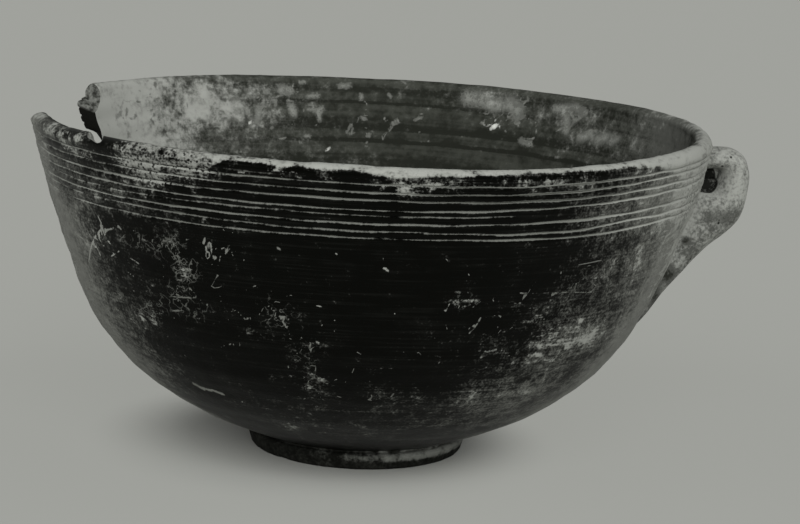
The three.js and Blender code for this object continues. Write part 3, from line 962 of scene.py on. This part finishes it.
def handle_stations():
    """Edge on the eye's side, outer edge and width of the handle, from the arm's root to the tail's end.
    Edges are given by height and by how far they stand off the wall."""

    def tail(share, out, width):
        inner = EYE_BOTTOM + (TAIL_END - EYE_BOTTOM) * share
        outer = HIP + (TAIL_END - HIP) * share
        return (inner, -ROOT_DEPTH), (outer, out), width

    bend_top = (EYE_TOP - EYE_HEIGHT * 0.15, EYE_DEPTH)
    bend_outside = (ARM_TOP - ARM_THICKNESS * 0.46, EYE_DEPTH + BEND_THICKNESS * 0.66)
    bend_low = (EYE_BOTTOM + EYE_HEIGHT * 0.08, EYE_DEPTH * 0.84)
    elbow = ((EYE_BOTTOM + HIP) / 2, ELBOW_REACH)
    stations = (
        ((EYE_TOP - ROOT_FLARE, -ROOT_DEPTH), (ARM_TOP + ROOT_FLARE, -ROOT_DEPTH), ROOT_WIDTH),
        ((EYE_TOP, EYE_DEPTH * 0.45), (ARM_TOP, EYE_DEPTH * 0.45), HANDLE_WIDTH),
        ((EYE_TOP, EYE_DEPTH * 0.88), (ARM_TOP, EYE_DEPTH + BEND_THICKNESS * 0.14), HANDLE_WIDTH),
        (bend_top, bend_outside, HANDLE_WIDTH),
        ((EYE_MIDDLE, EYE_DEPTH), (EYE_MIDDLE, EYE_DEPTH + BEND_THICKNESS), HANDLE_WIDTH),
        (bend_low, elbow, HANDLE_WIDTH),
        ((EYE_BOTTOM, EYE_DEPTH * 0.2), (HIP, HIP_REACH), HANDLE_WIDTH),
        tail(0.2, HIP_REACH * 0.70, TAIL_WIDTH),
        tail(0.55, HIP_REACH * 0.39, TAIL_WIDTH),
        tail(0.83, HIP_REACH * 0.28, TAIL_WIDTH * 0.95),
        tail(1, 0, TAIL_WIDTH * 0.45),
    )
    edges = np.array([(*eye, *outer, width) for eye, outer, width in stations], float)
    eye_edge = np.stack([outer_radius(edges[:, 0]) + edges[:, 1], edges[:, 0]], -1)
    outer_edge = np.stack([outer_radius(edges[:, 2]) + edges[:, 3], edges[:, 2]], -1)
    return eye_edge, outer_edge, edges[:, 4:]


EYE_RADIUS = outer_radius(EYE_MIDDLE) + EYE_DEPTH / 2


def eye_choke(grid):
    """How far the eye's upper and lower edges are pressed together at its far side by the earth in it."""
    rise = grid[..., 2] - EYE_MIDDLE
    depth = ramp(abs(grid[..., 1] - CHOKE_DEPTH), *CHOKE_SPAN)
    level = ramp(abs(rise) / EYE_HEIGHT, *CHOKE_RISE)
    reach = ramp((grid[..., 0] - EYE_RADIUS) / EYE_DEPTH, *CHOKE_REACH)
    return -(rise + CHOKE_OVERLAP * np.sign(rise)) * depth * level * reach


def handle_grid():
    """Skin of the handle: oval sections between its two edges, let out into a fillet where they near
    the wall, and made uneven as rolled clay is."""
    eye_edge, outer_edge, width = handle_stations()
    share = np.linspace(0, 1, HANDLE_ROWS)
    eye_side, outer_side = spline(eye_edge, share), spline(outer_edge, share)
    half_width = spline(width, share) / 2
    middle = (eye_side + outer_side) / 2
    across = (outer_side - eye_side) / 2
    angle = -np.linspace(0, 2 * math.pi, HANDLE_AROUND + 1)[:-1]
    lengthwise = middle[:, None] + across[:, None] * np.cos(angle)[:, None]
    grid = np.stack([lengthwise[..., 0], half_width * np.sin(angle), lengthwise[..., 1]], -1)
    centre = np.stack([middle[:, 0], 0 * middle[:, 0], middle[:, 1]], -1)[:, None]
    outward = unit(grid - centre)
    grid = grid + outward * rough(grid, HANDLE_LUMPS)[..., None]
    grid[..., 2] += eye_choke(grid)
    height = grid[..., 2]
    share_at = np.interp(height, OUTER_DENSE[:, 1], DENSE)
    normal = outer_wall(share_at.ravel())[1].reshape(*share_at.shape, 2)
    stand = np.hypot(grid[..., 0], grid[..., 1]) - outer_radius(height) - warp(azimuth_of(grid), height)
    near = np.clip(1 - stand * normal[..., 0] / FILLET, 0, 1)
    let_out = FILLET * (1 - np.sqrt(np.maximum(1 - near**2, 0)))
    wall_normal = np.stack([normal[..., 0], 0 * height, normal[..., 1]], -1)
    along_wall = outward - (outward * wall_normal).sum(-1, keepdims=True) * wall_normal
    along_wall /= np.maximum(np.linalg.norm(along_wall, axis=-1, keepdims=True), LEAST_SLANT)
    return grid + along_wall * let_out[..., None]


# Meshes

def ring_faces(rings, around, closed):
    """Quads between neighbouring rings, each wrapped round on itself; closed joins the last ring to the
    first."""
    ring = np.arange(rings if closed else rings - 1)[:, None]
    step = np.arange(around)[None]
    here, above = ring * around, (ring + 1) % rings * around
    after = (step + 1) % around
    return np.stack([here + step, here + after, above + after, above + step], -1).reshape(-1, 4)


def add_object(name, data):
    """New object at the origin, put in the scene."""
    made = bpy.data.objects.new(name, data)
    bpy.context.scene.collection.objects.link(made)
    return made


def skin(name, grid, finish, closed=False):
    """Mesh object over a grid of rings; open ends are closed by fans to the middles of the end rings."""
    rings, around, _ = grid.shape
    corners = grid.reshape(-1, 3)
    faces = ring_faces(rings, around, closed).tolist()
    if not closed:
        corners = np.concatenate([corners, grid[0].mean(0)[None], grid[-1].mean(0)[None]])
        step = np.arange(around)
        after = (step + 1) % around
        first, last = rings * around, rings * around + 1
        top = (rings - 1) * around
        faces += np.stack([np.full(around, first), after, step], -1).tolist()
        faces += np.stack([np.full(around, last), top + step, top + after], -1).tolist()
    mesh = bpy.data.meshes.new(name)
    mesh.from_pydata((corners * MM).tolist(), [], faces)
    mesh.polygons.foreach_set("use_smooth", np.ones(len(mesh.polygons), bool))
    mesh.materials.append(finish)
    return add_object(name, mesh)


def mesh_points(mesh):
    """Corners of a mesh, in millimetres."""
    points = np.empty(len(mesh.vertices) * 3, np.float32)
    mesh.vertices.foreach_get("co", points)
    return points.reshape(-1, 3).astype(float) / MM


def set_masks(mesh, masks):
    """Stores numbers for the corners of a mesh under the names that materials read."""
    for name, values in masks.items():
        mask = mesh.attributes.new(name, "FLOAT", "POINT")
        mask.data.foreach_set("value", np.asarray(values, np.float32))


def cut_away(piece, cutter):
    """Takes the cutter's space out of a piece, whose cut faces keep the cutter's finish."""
    cut = piece.modifiers.new("break", "BOOLEAN")
    cut.operation = "DIFFERENCE"
    cut.solver = "EXACT"
    cut.material_mode = "TRANSFER"
    cut.object = cutter
    graph = bpy.context.evaluated_depsgraph_get()
    mesh = bpy.data.meshes.new_from_object(piece.evaluated_get(graph))
    piece.modifiers.clear()
    piece.data = mesh
    bpy.data.objects.remove(cutter)


# Strokes of lime and scars

def on_outside(azimuth, height):
    """Place on the outside of the wall."""
    return turned_points(azimuth, outer_radius(height) + warp(azimuth, height), height)


def on_inside(azimuth, height):
    """Place on the inside of the wall."""
    return turned_points(azimuth, inner_radius(height), height)


def scattered(dice, place, flecks, widths, reach):
    """Chain of places, half width and reach of short strokes strewn over patches, thickest in their
    middle."""
    for azimuth, height, half_turn, half_height, number in flecks.values():
        for _ in range(number):
            start = np.array([azimuth, height]) + dice.normal(0, FLECK_SPREAD, 2) * (half_turn, half_height)
            lean, length = dice.uniform(0, math.pi), dice.uniform(*FLECK_LENGTHS)
            end = start + length * np.array([math.cos(lean) * FLECK_TURN, math.sin(lean)])
            yield [place(*start), place(*end)], dice.uniform(*widths), reach


def scar_strokes():
    """Chain of places, half width and reach of every crack and smudge in the crust."""
    for chain in CRACKS:
        yield [on_inside(*place) for place in chain], CRACK_HALF_WIDTH, CRACK_REACH
    dice = np.random.default_rng(SMUDGE_SEED)
    yield from scattered(dice, on_inside, SMUDGES, WIDE_FLECKS, SMUDGE_REACH)


def mark_strokes():
    """Chain of places, half width and reach of every root mark, blotch, dab and fleck."""
    sides = (
        (on_outside, OUTSIDE_MARGIN, ROOT_MARKS, OUTSIDE_DABS, OUTSIDE_FLECKS, THIN_FLECKS),
        (on_inside, INSIDE_MARGIN, INSIDE_BLOTCHES, INSIDE_DABS, INSIDE_FLECKS, WIDE_FLECKS),
    )
    dice = np.random.default_rng(FLECK_SEED)
    for place, margin, strokes, dabs, flecks, widths in sides:
        for chain, width in strokes.values():
            yield [place(*corner) for corner in chain], width * STROKE_CORE, width * STROKE_REACH + margin
        for azimuth, height, size in dabs:
            ends = [place(azimuth + lean * size, height - lean * size) for lean in (-0.5, 0.5)]
            yield ends, size * DAB_CORE, size * DAB_REACH + margin
        yield from scattered(dice, place, flecks, widths, margin + FLECK_REACH)


def stroke_ways(mesh, points, strokes):
    """Way from each corner of a mesh to the stroke whose edge is nearest, in half widths. Beyond the
    stroke's reach, and where corners that belong to two strokes meet, the way is bent off the wall, so
    that it never shrinks to nothing midway between two strokes."""
    best = np.full(len(points), np.inf)
    spare, widths = np.zeros(len(points)), np.ones(len(points))
    owner = np.zeros(len(points), int)
    ways = np.zeros_like(points)
    for number, (chain, half_width, reach) in enumerate(strokes):
        for start, end in zip(chain, chain[1:]):
            along = end - start
            share = np.clip((points - start) @ along / (along @ along), 0, 1)
            way = start + share[:, None] * along - points
            length = np.linalg.norm(way, axis=1)
            nearer = length - half_width < best
            best = np.where(nearer, length - half_width, best)
            owner = np.where(nearer, number, owner)
            widths = np.where(nearer, half_width, widths)
            spare = np.where(nearer, np.maximum(length - reach, 0), spare)
            ways = np.where(nearer[:, None], way, ways)
    ends = np.empty(len(mesh.edges) * 2, np.int32)
    mesh.edges.foreach_get("vertices", ends)
    ends = ends.reshape(-1, 2)
    border = np.zeros(len(points), bool)
    border[ends[owner[ends[:, 0]] != owner[ends[:, 1]]]] = True
    off = border & (best > BORDER_GAP * np.maximum(widths, 1))
    spare = np.where(off, np.maximum(spare, BORDER_SPARE), spare)
    outward = points * (1, 1, 0) / np.maximum(np.hypot(points[:, :1], points[:, 1:2]), 1)
    push = BEND * spare * np.where((ways * outward).sum(1) < -DEEP_WAY, -1, 1)
    return ways / widths[:, None] + outward * push[:, None]


# Finishes

class Wire:
    """Output of a node in a finish. Sums, products and the like of wires add Math nodes."""

    def __init__(self, finish, socket):
        self.finish = finish
        self.socket = socket

    def math(self, operation, *values):
        return self.finish.node("ShaderNodeMath", {"operation": operation}, dict(enumerate(values)))

    def __add__(self, other):
        return self.math("ADD", self, other)

    __radd__ = __add__

    def __sub__(self, other):
        return self.math("SUBTRACT", self, other)

    def __rsub__(self, other):
        return self.math("SUBTRACT", other, self)

    def __mul__(self, other):
        return self.math("MULTIPLY", self, other)

    __rmul__ = __mul__

    def __abs__(self):
        return self.math("ABSOLUTE", self)

    def most(self, other):
        return self.math("MAXIMUM", self, other)


class Finish:
    """A material, or the room's light, in the making. Its methods add nodes and give the wire that comes
    out of them."""

    def __init__(self, owner, place="Object"):
        owner.use_nodes = True
        self.owner = owner
        self.tree = owner.node_tree
        self.tree.nodes.clear()
        self.place = self.node("ShaderNodeTexCoord", output=place)

    def node(self, kind, settings=None, inputs=None, output=0):
        """Any node: its type, its settings, then the values or wires of its sockets."""
        made = self.tree.nodes.new(kind)
        for name, value in (settings or {}).items():
            setattr(made, name, value)
        for key, value in (inputs or {}).items():
            if isinstance(value, Wire):
                self.tree.links.new(value.socket, made.inputs[key])
            else:
                made.inputs[key].default_value = value
        return Wire(self, made.outputs[output])

    def vector(self, operation, *values, output=0):
        return self.node("ShaderNodeVectorMath", {"operation": operation}, dict(enumerate(values)), output)

    def mask(self, name):
        """A mask stored on the mesh."""
        return self.node("ShaderNodeAttribute", {"attribute_name": name}, output="Fac")

    def gap(self, name):
        """Length of a way stored on the mesh."""
        way = self.node("ShaderNodeAttribute", {"attribute_name": name}, output="Vector")
        return self.vector("LENGTH", way, output="Value")

    def ray(self, kind):
        """1 for light rays of a kind, else 0."""
        return self.node("ShaderNodeLightPath", output=f"Is {kind} Ray")

    def noise(self, size, detail=3, roughness=0.55, place=None):
        """Cloudy noise about 0, from -0.5 to 0.5, of a size in millimetres."""
        inputs = {"Vector": place or self.place, "Scale": 1 / (size * MM)}
        inputs |= {"Detail": detail, "Roughness": roughness}
        return self.node("ShaderNodeTexNoise", None, inputs) - 0.5

    def streaks(self, length, height, detail):
        """Noise drawn out along the turning direction, of a length and a height in millimetres."""
        squeezed = self.vector("MULTIPLY", self.place, (height / length, height / length, 1))
        return self.noise(height, detail, place=squeezed)

    def cells(self, size):
        """Distance from the middle of the nearest of many cells, whose size in millimetres counts as 1."""
        inputs = {"Vector": self.place, "Scale": 1 / (size * MM)}
        return self.node("ShaderNodeTexVoronoi", None, inputs, "Distance")

    def step(self, value, low, high):
        """Share from 0 at low to 1 at high, level at both ends; low may be above high."""
        inputs = {"Value": value, "From Min": low, "From Max": high}
        return self.node("ShaderNodeMapRange", {"interpolation_type": "SMOOTHSTEP"}, inputs)

    def blend(self, share, low, high):
        """Colour between two colours."""
        low, high = (colour if isinstance(colour, Wire) else (*colour, 1) for colour in (low, high))
        return self.node("ShaderNodeMix", {"data_type": "RGBA"}, {0: share, 6: low, 7: high}, 2)

    def glow(self, kind, colour, strength=1.0):
        """Light of a colour that a surface or the room gives off."""
        return self.node(kind, None, {"Color": (*colour, 1), "Strength": strength})

    def mix(self, share, low, high):
        """Surface between two surfaces."""
        return self.node("ShaderNodeMixShader", None, {0: share, 1: low, 2: high})

    def close(self, colour, roughness, shine, height, depth):
        """Ends the finish in a surface, whose relief follows a height over a depth in millimetres."""
        bump = {"Height": height, "Distance": depth * MM, "Strength": BUMP_STRENGTH}
        sockets = {"Base Color": colour, "Roughness": roughness, "Specular IOR Level": shine}
        sockets["Normal"] = self.node("ShaderNodeBump", None, bump)
        return self.end(self.node("ShaderNodeBsdfPrincipled", None, sockets))

    def end(self, surface, kind="ShaderNodeOutputMaterial"):
        """Joins a surface to the output."""
        output = self.tree.nodes.new(kind)
        self.tree.links.new(surface.socket, output.inputs["Surface"])
        return self.owner


def slip_finish():
    """Burnished dark slip, rubbed along the wheel's turn and hazy where lime has dried on it, with painted
    sheen down its sides and low down and painted light on the inside's far right, under flakes of lime
    crust, root marks and incised lines filled with lime."""
    f = Finish(bpy.data.materials.new("burnished_slip"))
    crust, inside, line, haze_and_painted_light = (f.mask(name) for name in ("crust", "inside", "line", "haze_and_painted_light"))
    pitted, white, rootlets = (f.mask(name) for name in ("pitted", "white", "rootlets"))
    grain = f.noise(0.7)
    flakes = f.noise(2.4, 4, 0.62)
    mottle = f.noise(9, 5, 0.62)
    wheel = f.streaks(26, 0.6, 3)
    brushed = f.streaks(7, 1.0, 3)
    bands = f.streaks(150, 3, 2)
    clouds = (mottle + flakes) * 1.3
    texture = clouds + (grain * 0.6 + brushed) * (1 - 0.7 * inside)
    dots = f.step(f.cells(1.1) - flakes * 0.5, 0.42, 0.24) * f.step(pitted + mottle * 0.8, 0.25, 0.6)
    bitten = crust + haze_and_painted_light * 0.15 + texture
    cover = f.step(bitten, 0.42 - 0.20 * inside, 0.74 + 0.06 * inside) * (1 - 0.95 * dots)
    speckle = clouds * 0.65 + wheel * 0.4 + grain * 0.9
    # Film of dried haze, with painted sheen on the outside and painted light on the inside's far right
    film_and_painted_light = f.step(crust * 0.6 + haze_and_painted_light + speckle, 0.18, 1.0) * (1 - 0.6 * dots)
    uneven = (grain + flakes) * 1.6
    soft = inside * (1 - white)
    ragged = uneven * (1 + 0.8 * soft) + mottle * soft * 2.4
    roots = f.step(f.gap("mark") + ragged, 1.25 + 0.3 * soft, 0.55 - 0.4 * soft)
    roots = roots * (0.92 - 0.5 * soft * f.step(flakes + grain * 0.6, 0.10, -0.10))
    threads = f.step(abs(f.noise(3.0, 2)) + grain * 0.05, 0.032, 0.004)
    threads = threads * f.step(rootlets + mottle + flakes * 0.8, 0.34, 0.74)
    roots = roots.most(threads * 0.7)
    cracks = f.step(f.gap("scar") + uneven, 1.5, 0.4)
    filled = f.step(line + (mottle + flakes) * 0.9 + grain * 0.6, 0.36, 0.78)
    rubbed = f.blend(f.step(wheel + mottle * 0.6, -0.04, 0.24), SLIP, RUBBED_SLIP)
    outside_colour = f.blend(film_and_painted_light, rubbed, f.blend(f.step(speckle, -0.5, 0.6), THIN_HAZE_AND_SHEEN, HAZE_AND_SHEEN))
    level = f.vector("DOT_PRODUCT", f.place, (0, 0, 1 / MM), output="Value") + mottle * 1.5
    upper, lower, faint = (abs(level - height) for height in INSIDE_RINGS)
    rings = f.step(upper, 1.0, 0.3).most(f.step(lower, 0.9, 0.3)).most(f.step(faint, 0.7, 0.2) * 0.6)
    inside_level = bands + clouds * 0.5 - rings * 0.35
    inside_colour = f.blend(f.step(inside_level, -0.20, 0.18), INSIDE_DARK, INSIDE_SLIP)
    inside_colour = f.blend(film_and_painted_light * 0.6, inside_colour, GREY_LIME)
    bare = f.blend(inside, outside_colour, inside_colour)
    lime = f.blend(f.step(texture * 0.7 + crust * 0.5 - pitted * 0.15, 0.05, 0.55), GREY_LIME, LIME)
    line_lime = f.blend(f.step(crust + haze_and_painted_light, 0.15, 0.65), LINE_LIME, LIME)
    colour = f.blend(roots, bare, f.blend(white, LINE_LIME, WHITE_LIME))
    colour = f.blend(cover, colour, lime)
    colour = f.blend(filled * (1 - dots), colour, line_lime)
    colour = f.blend(cracks * 0.48, colour, INSIDE_DARK)
    dull = cover.most(roots).most(filled).most(inside * 0.8)
    relief = cover * 0.25 + roots * 0.3 + flakes * 0.3 + grain * 0.2 + wheel * 0.08 - dots * 0.5
    return f.close(colour, 0.38 + 0.5 * dull, 0.07, relief, 0.35)


def broken_finish():
    """Broken clay: grainy grey near the lip, black below, and limed over in the chip."""
    f = Finish(bpy.data.materials.new("broken_clay"))
    grain = f.noise(0.6, 4)
    patchy = f.noise(1.8, 4, 0.6)
    grey = f.blend(f.step(patchy, -0.14, 0.12), GRIT, CLAY)
    limed = f.blend(f.step(patchy, -0.16, 0.10), GREY_LIME, LIME)
    colour = f.blend(f.mask("dark_below"), f.blend(f.mask("limed"), grey, limed), BREAK_DARK_BELOW)
    return f.close(colour, 0.95, 0.05, grain + patchy, 0.4)


def handle_finish():
    """The handle's clay: lime crust rubbed grey, darker where the slip shows, with black pin marks, and
    painted shade in the eye, mottled with grey earth."""
    f = Finish(bpy.data.materials.new("limed_handle"))
    shade, eye, pitted = (f.mask(name) for name in ("shade", "eye", "pitted"))
    grain = f.noise(0.8)
    flakes = f.noise(2.2, 4, 0.62)
    mottle = f.noise(7, 5, 0.62)
    texture = mottle * 0.9 + (flakes + grain) * 1.2
    sparse = f.step(f.noise(5, 2) + pitted * 0.3, 0.12, 0.18)
    pins = f.step(f.cells(1.4) - flakes * 0.4, 0.34, 0.18) * sparse
    lime = f.blend(f.step(texture - shade * 0.9, -0.55, 0.20), HANDLE_GREY, HANDLE_LIME)
    colour = f.blend(f.step(shade + texture * 1.1, 0.50, 0.95), lime, HANDLE_SLIP)
    colour = f.blend(pins * 0.9, colour, SLIP)
    # Painted shade in the eye, mottled with grey earth
    eye_shade_and_earth = f.blend(f.step(texture, 0.08, 0.40), PAINTED_EYE_SHADE, EYE_EARTH)
    colour = f.blend(f.step(eye + texture * 0.3, 0.35, 0.6), colour, eye_shade_and_earth)
    return f.close(colour, 0.88, 0.06, grain * 0.4 + flakes * 0.8 - pins, 0.4)


def foot_finish(name):
    """The foot's slip: dark at the left, worn through to pale clay along the right of its face."""
    f = Finish(bpy.data.materials.new(name))
    worn = f.mask("worn")
    grain = f.noise(0.9)
    mottle = f.noise(4, 5, 0.66)
    pale = f.blend(f.step(worn + mottle * 1.6, 0.45, 1.0), FOOT_GREY, FOOT_LIME)
    dark = f.blend(f.step(grain + mottle, -0.2, 0.3), FOOT_DARK, FOOT_SLIP)
    colour = f.blend(f.step(worn + mottle * 1.9 + grain * 0.7, 0.34, 0.76), dark, pale)
    return f.close(colour, 0.7, 0.04, grain + mottle, 0.4)


def sheet_finish():
    """Pale sheet. It keeps the shadow by the foot, and further off the camera sees its plain tone."""
    f = Finish(bpy.data.materials.new("pale_sheet"))
    flat = f.vector("MULTIPLY", f.vector("SUBTRACT", f.place, SHADOW_MIDDLE), (1, 1, 0))
    gap = f.vector("LENGTH", flat, output="Value")
    share = f.step(gap, *SHADOW_EDGE) * PLAIN_SHARE * f.ray("Camera")
    lit = f.node("ShaderNodeBsdfDiffuse", None, {"Color": (*SHEET, 1)})
    return f.end(f.mix(share, lit, f.glow("ShaderNodeEmission", PAPER)))


# Pieces

def make_wall():
    """The thrown wall, with the break and the chip taken out and its masks set."""
    wall = skin("bowl_wall", wall_grid(), slip_finish())
    broken = broken_finish()
    for outside, inside, seed in MISSING.values():
        cut_away(wall, skin("missing_piece", break_grid(outside, inside, seed), broken))
    mesh = wall.data
    mesh.name = "bowl_wall"
    mesh.set_sharp_from_angle(angle=math.radians(SHARP_ANGLE))
    points = mesh_points(mesh)
    radius, height = np.hypot(points[:, 0], points[:, 1]), points[:, 2]
    place = (azimuth_of(points), height)
    middle = (outer_radius(height) + inner_radius(height)) / 2 + warp(*place)
    inner = ramp(middle - radius, *INNER_EDGE) * (height > FLOOR_HEIGHT - FLOOR_MARGIN)
    through = (radius - inner_radius(height)) / LIP_WALL

    def sided(on_outer, on_inner=0):
        return on_outer * (1 - inner) + on_inner * inner

    set_masks(mesh, {
        "dark_below": ramp(HEIGHT - DARK_BELOW_DROP + DARK_BELOW_SLANT * through - height, *DARK_BELOW_EDGE),
        "limed": ramp(place[0], *LIMED_TURNS),
        "inside": inner,
        # The crust mask holds a patch of painted sheen on the left edge; the haze mask holds painted sheen
        # outside and painted light on the inside's far right
        "crust": sided(crust_and_sheen_outside(*place), crust_inside(*place)),
        "line": sided(line_depth(*place) / FULL_CUT * round_table(place[0], LINE_FILL)),
        "rootlets": sided(summed(*place, ROOTLETS)),
        "pitted": sided(summed(*place, PITTED)),
        "haze_and_painted_light": sided(haze_and_sheen_outside(*place), haze_and_light_inside(*place)),
        "white": sided(summed(*place, OUTSIDE_WHITE), summed(*place, INSIDE_WHITE) + INSIDE_PALE),
    })
    for name, strokes in (("mark", mark_strokes()), ("scar", scar_strokes())):
        ways = stroke_ways(mesh, points, strokes).astype(np.float32)
        mesh.attributes.new(name, "FLOAT_VECTOR", "POINT").data.foreach_set("vector", ways.ravel())
    return wall


def make_foot():
    """The foot ring with its worn face."""
    foot = skin("foot", foot_grid(), foot_finish("foot_slip"), closed=True)
    points = mesh_points(foot.data)
    left, right = (turn_ramp(azimuth_of(points), *wear) for wear in FOOT_WEAR)
    band = ramp(points[:, 2], *FOOT_WEAR_RISE) * left * right
    set_masks(foot.data, {"worn": FOOT_LEAST_WEAR + FOOT_WEAR_SHARE * band})
    return foot


def make_seam():
    """The slip round the foot's joint, made paler as painted light in the crease under the body."""
    seam = skin("foot_seam", seam_grid(), foot_finish("seam_slip"), closed=True)
    azimuth = azimuth_of(mesh_points(seam.data))
    # The seam's pale wear is partly painted light in the crease under the body
    set_masks(seam.data, {"worn": SEAM_LEAST_WEAR_AND_LIGHT + SEAM_WEAR_AND_LIGHT_SHARE * turn_ramp(azimuth, *SEAM_WEAR)})
    return seam


def make_handle():
    """The handle with its joints to the wall."""
    handle = skin("handle_loop", handle_grid(), handle_finish())
    out, depth, height = mesh_points(handle.data).T
    shade = summed(out, height, HANDLE_SHADE, np.subtract)
    near_eye = ramp(np.hypot(out - EYE_RADIUS, height - EYE_MIDDLE) / EYE_DEPTH, *EYE_EDGE)
    set_masks(handle.data, {
        "shade": shade * (FAR_SHADE + (1 - FAR_SHADE) * ramp(depth, *SHADE_DEPTH)),
        "pitted": patch(out, height, ARM_PITS, np.subtract),
        # Where the eye is painted dark as shade
        "eye": near_eye * ramp(depth / HANDLE_WIDTH, *EYE_MOUTH),
    })
    return handle


# Sheet, camera and light

def make_sheet():
    """Wide flat sheet under the bowl."""
    corners = [(x * SHEET_REACH, y * SHEET_REACH, 0) for x, y in ((-1, -1), (1, -1), (1, 1), (-1, 1))]
    mesh = bpy.data.meshes.new("sheet")
    mesh.from_pydata(corners, [], [(0, 1, 2, 3)])
    mesh.materials.append(sheet_finish())
    add_object("sheet", mesh)


def make_camera():
    """Camera at the photograph's viewing angle."""
    turn = Matrix.Rotation(math.radians(CAMERA_TURN), 3, "Z")
    rise, roll = math.radians(CAMERA_RISE), math.radians(CAMERA_ROLL)
    back = Vector((0, -math.cos(rise), math.sin(rise)))
    right = Vector((1, 0, 0))
    up = back.cross(right)
    side = math.cos(roll) * right + math.sin(roll) * up
    top = math.cos(roll) * up - math.sin(roll) * right
    eye = turn @ (Vector((AIM_SIDE, 0, AIM_HEIGHT)) + CAMERA_DISTANCE * back) * MM
    lens = bpy.data.cameras.new("camera")
    lens.sensor_width = SENSOR
    lens.lens = SENSOR * FOCAL_SHARE
    camera = add_object("camera", lens)
    axes = Matrix((turn @ side, turn @ top, turn @ back)).transposed().to_4x4()
    camera.matrix_world = Matrix.Translation(eye) @ axes
    bpy.context.scene.camera = camera


def make_lamp(name, azimuth, rise, power):
    """Soft light from far off: where it stands and its strength."""
    light = bpy.data.lights.new(name, "SUN")
    light.energy = power
    light.angle = math.radians(LAMP_SPREAD)
    lamp = add_object(name, light)
    lamp.visible_glossy = False
    toward = Vector(turned_points(azimuth, math.cos(math.radians(rise)), math.sin(math.radians(rise))))
    lamp.rotation_mode = "QUATERNION"
    lamp.rotation_quaternion = toward.to_track_quat("Z", "Y")


def make_world():
    """Even light from all round. What the camera sees behind the bowl, and what shines in it from there, is
    the sheet's own tone; the side of the room where the camera stands is dark."""
    world = bpy.data.worlds.new("room")
    bpy.context.scene.world = world
    f = Finish(world, "Generated")
    glossy = f.ray("Glossy")
    facing = f.vector("DOT_PRODUCT", f.place, turned_points(CAMERA_TURN + 90, 1, 0), output="Value")
    backed = f.node("ShaderNodeMapRange", None, {"Value": facing, "From Min": -0.2, "From Max": 0.5})
    seen = (glossy * backed).most(f.ray("Transmission")).most(f.ray("Camera"))
    bright, dim, behind = (
        f.glow("ShaderNodeBackground", colour, strength)
        for colour, strength in ((WHITE, AMBIENT), (WHITE, AMBIENT * DARK_SIDE), (PAPER, 1.0))
    )
    f.end(f.mix(seen, f.mix(glossy, bright, dim), behind), "ShaderNodeOutputWorld")


bpy.context.scene.view_settings.view_transform = "Standard"
make_camera()
make_sheet()
make_world()
for lamp_name, lamp_place in LAMPS.items():
    make_lamp(lamp_name, *lamp_place)

for piece, slot, nodes in (
    (make_wall(), "bowl_wall", ["bowl_body"]),
    (make_foot(), "foot", ["foot_ring"]),
    (make_seam(), "luting_slip", ["foot_luting"]),
    (make_handle(), "handle", ["handle", "handle_upper_luting", "handle_lower_luting"]),
):
    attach(piece, "root")
    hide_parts(*nodes)
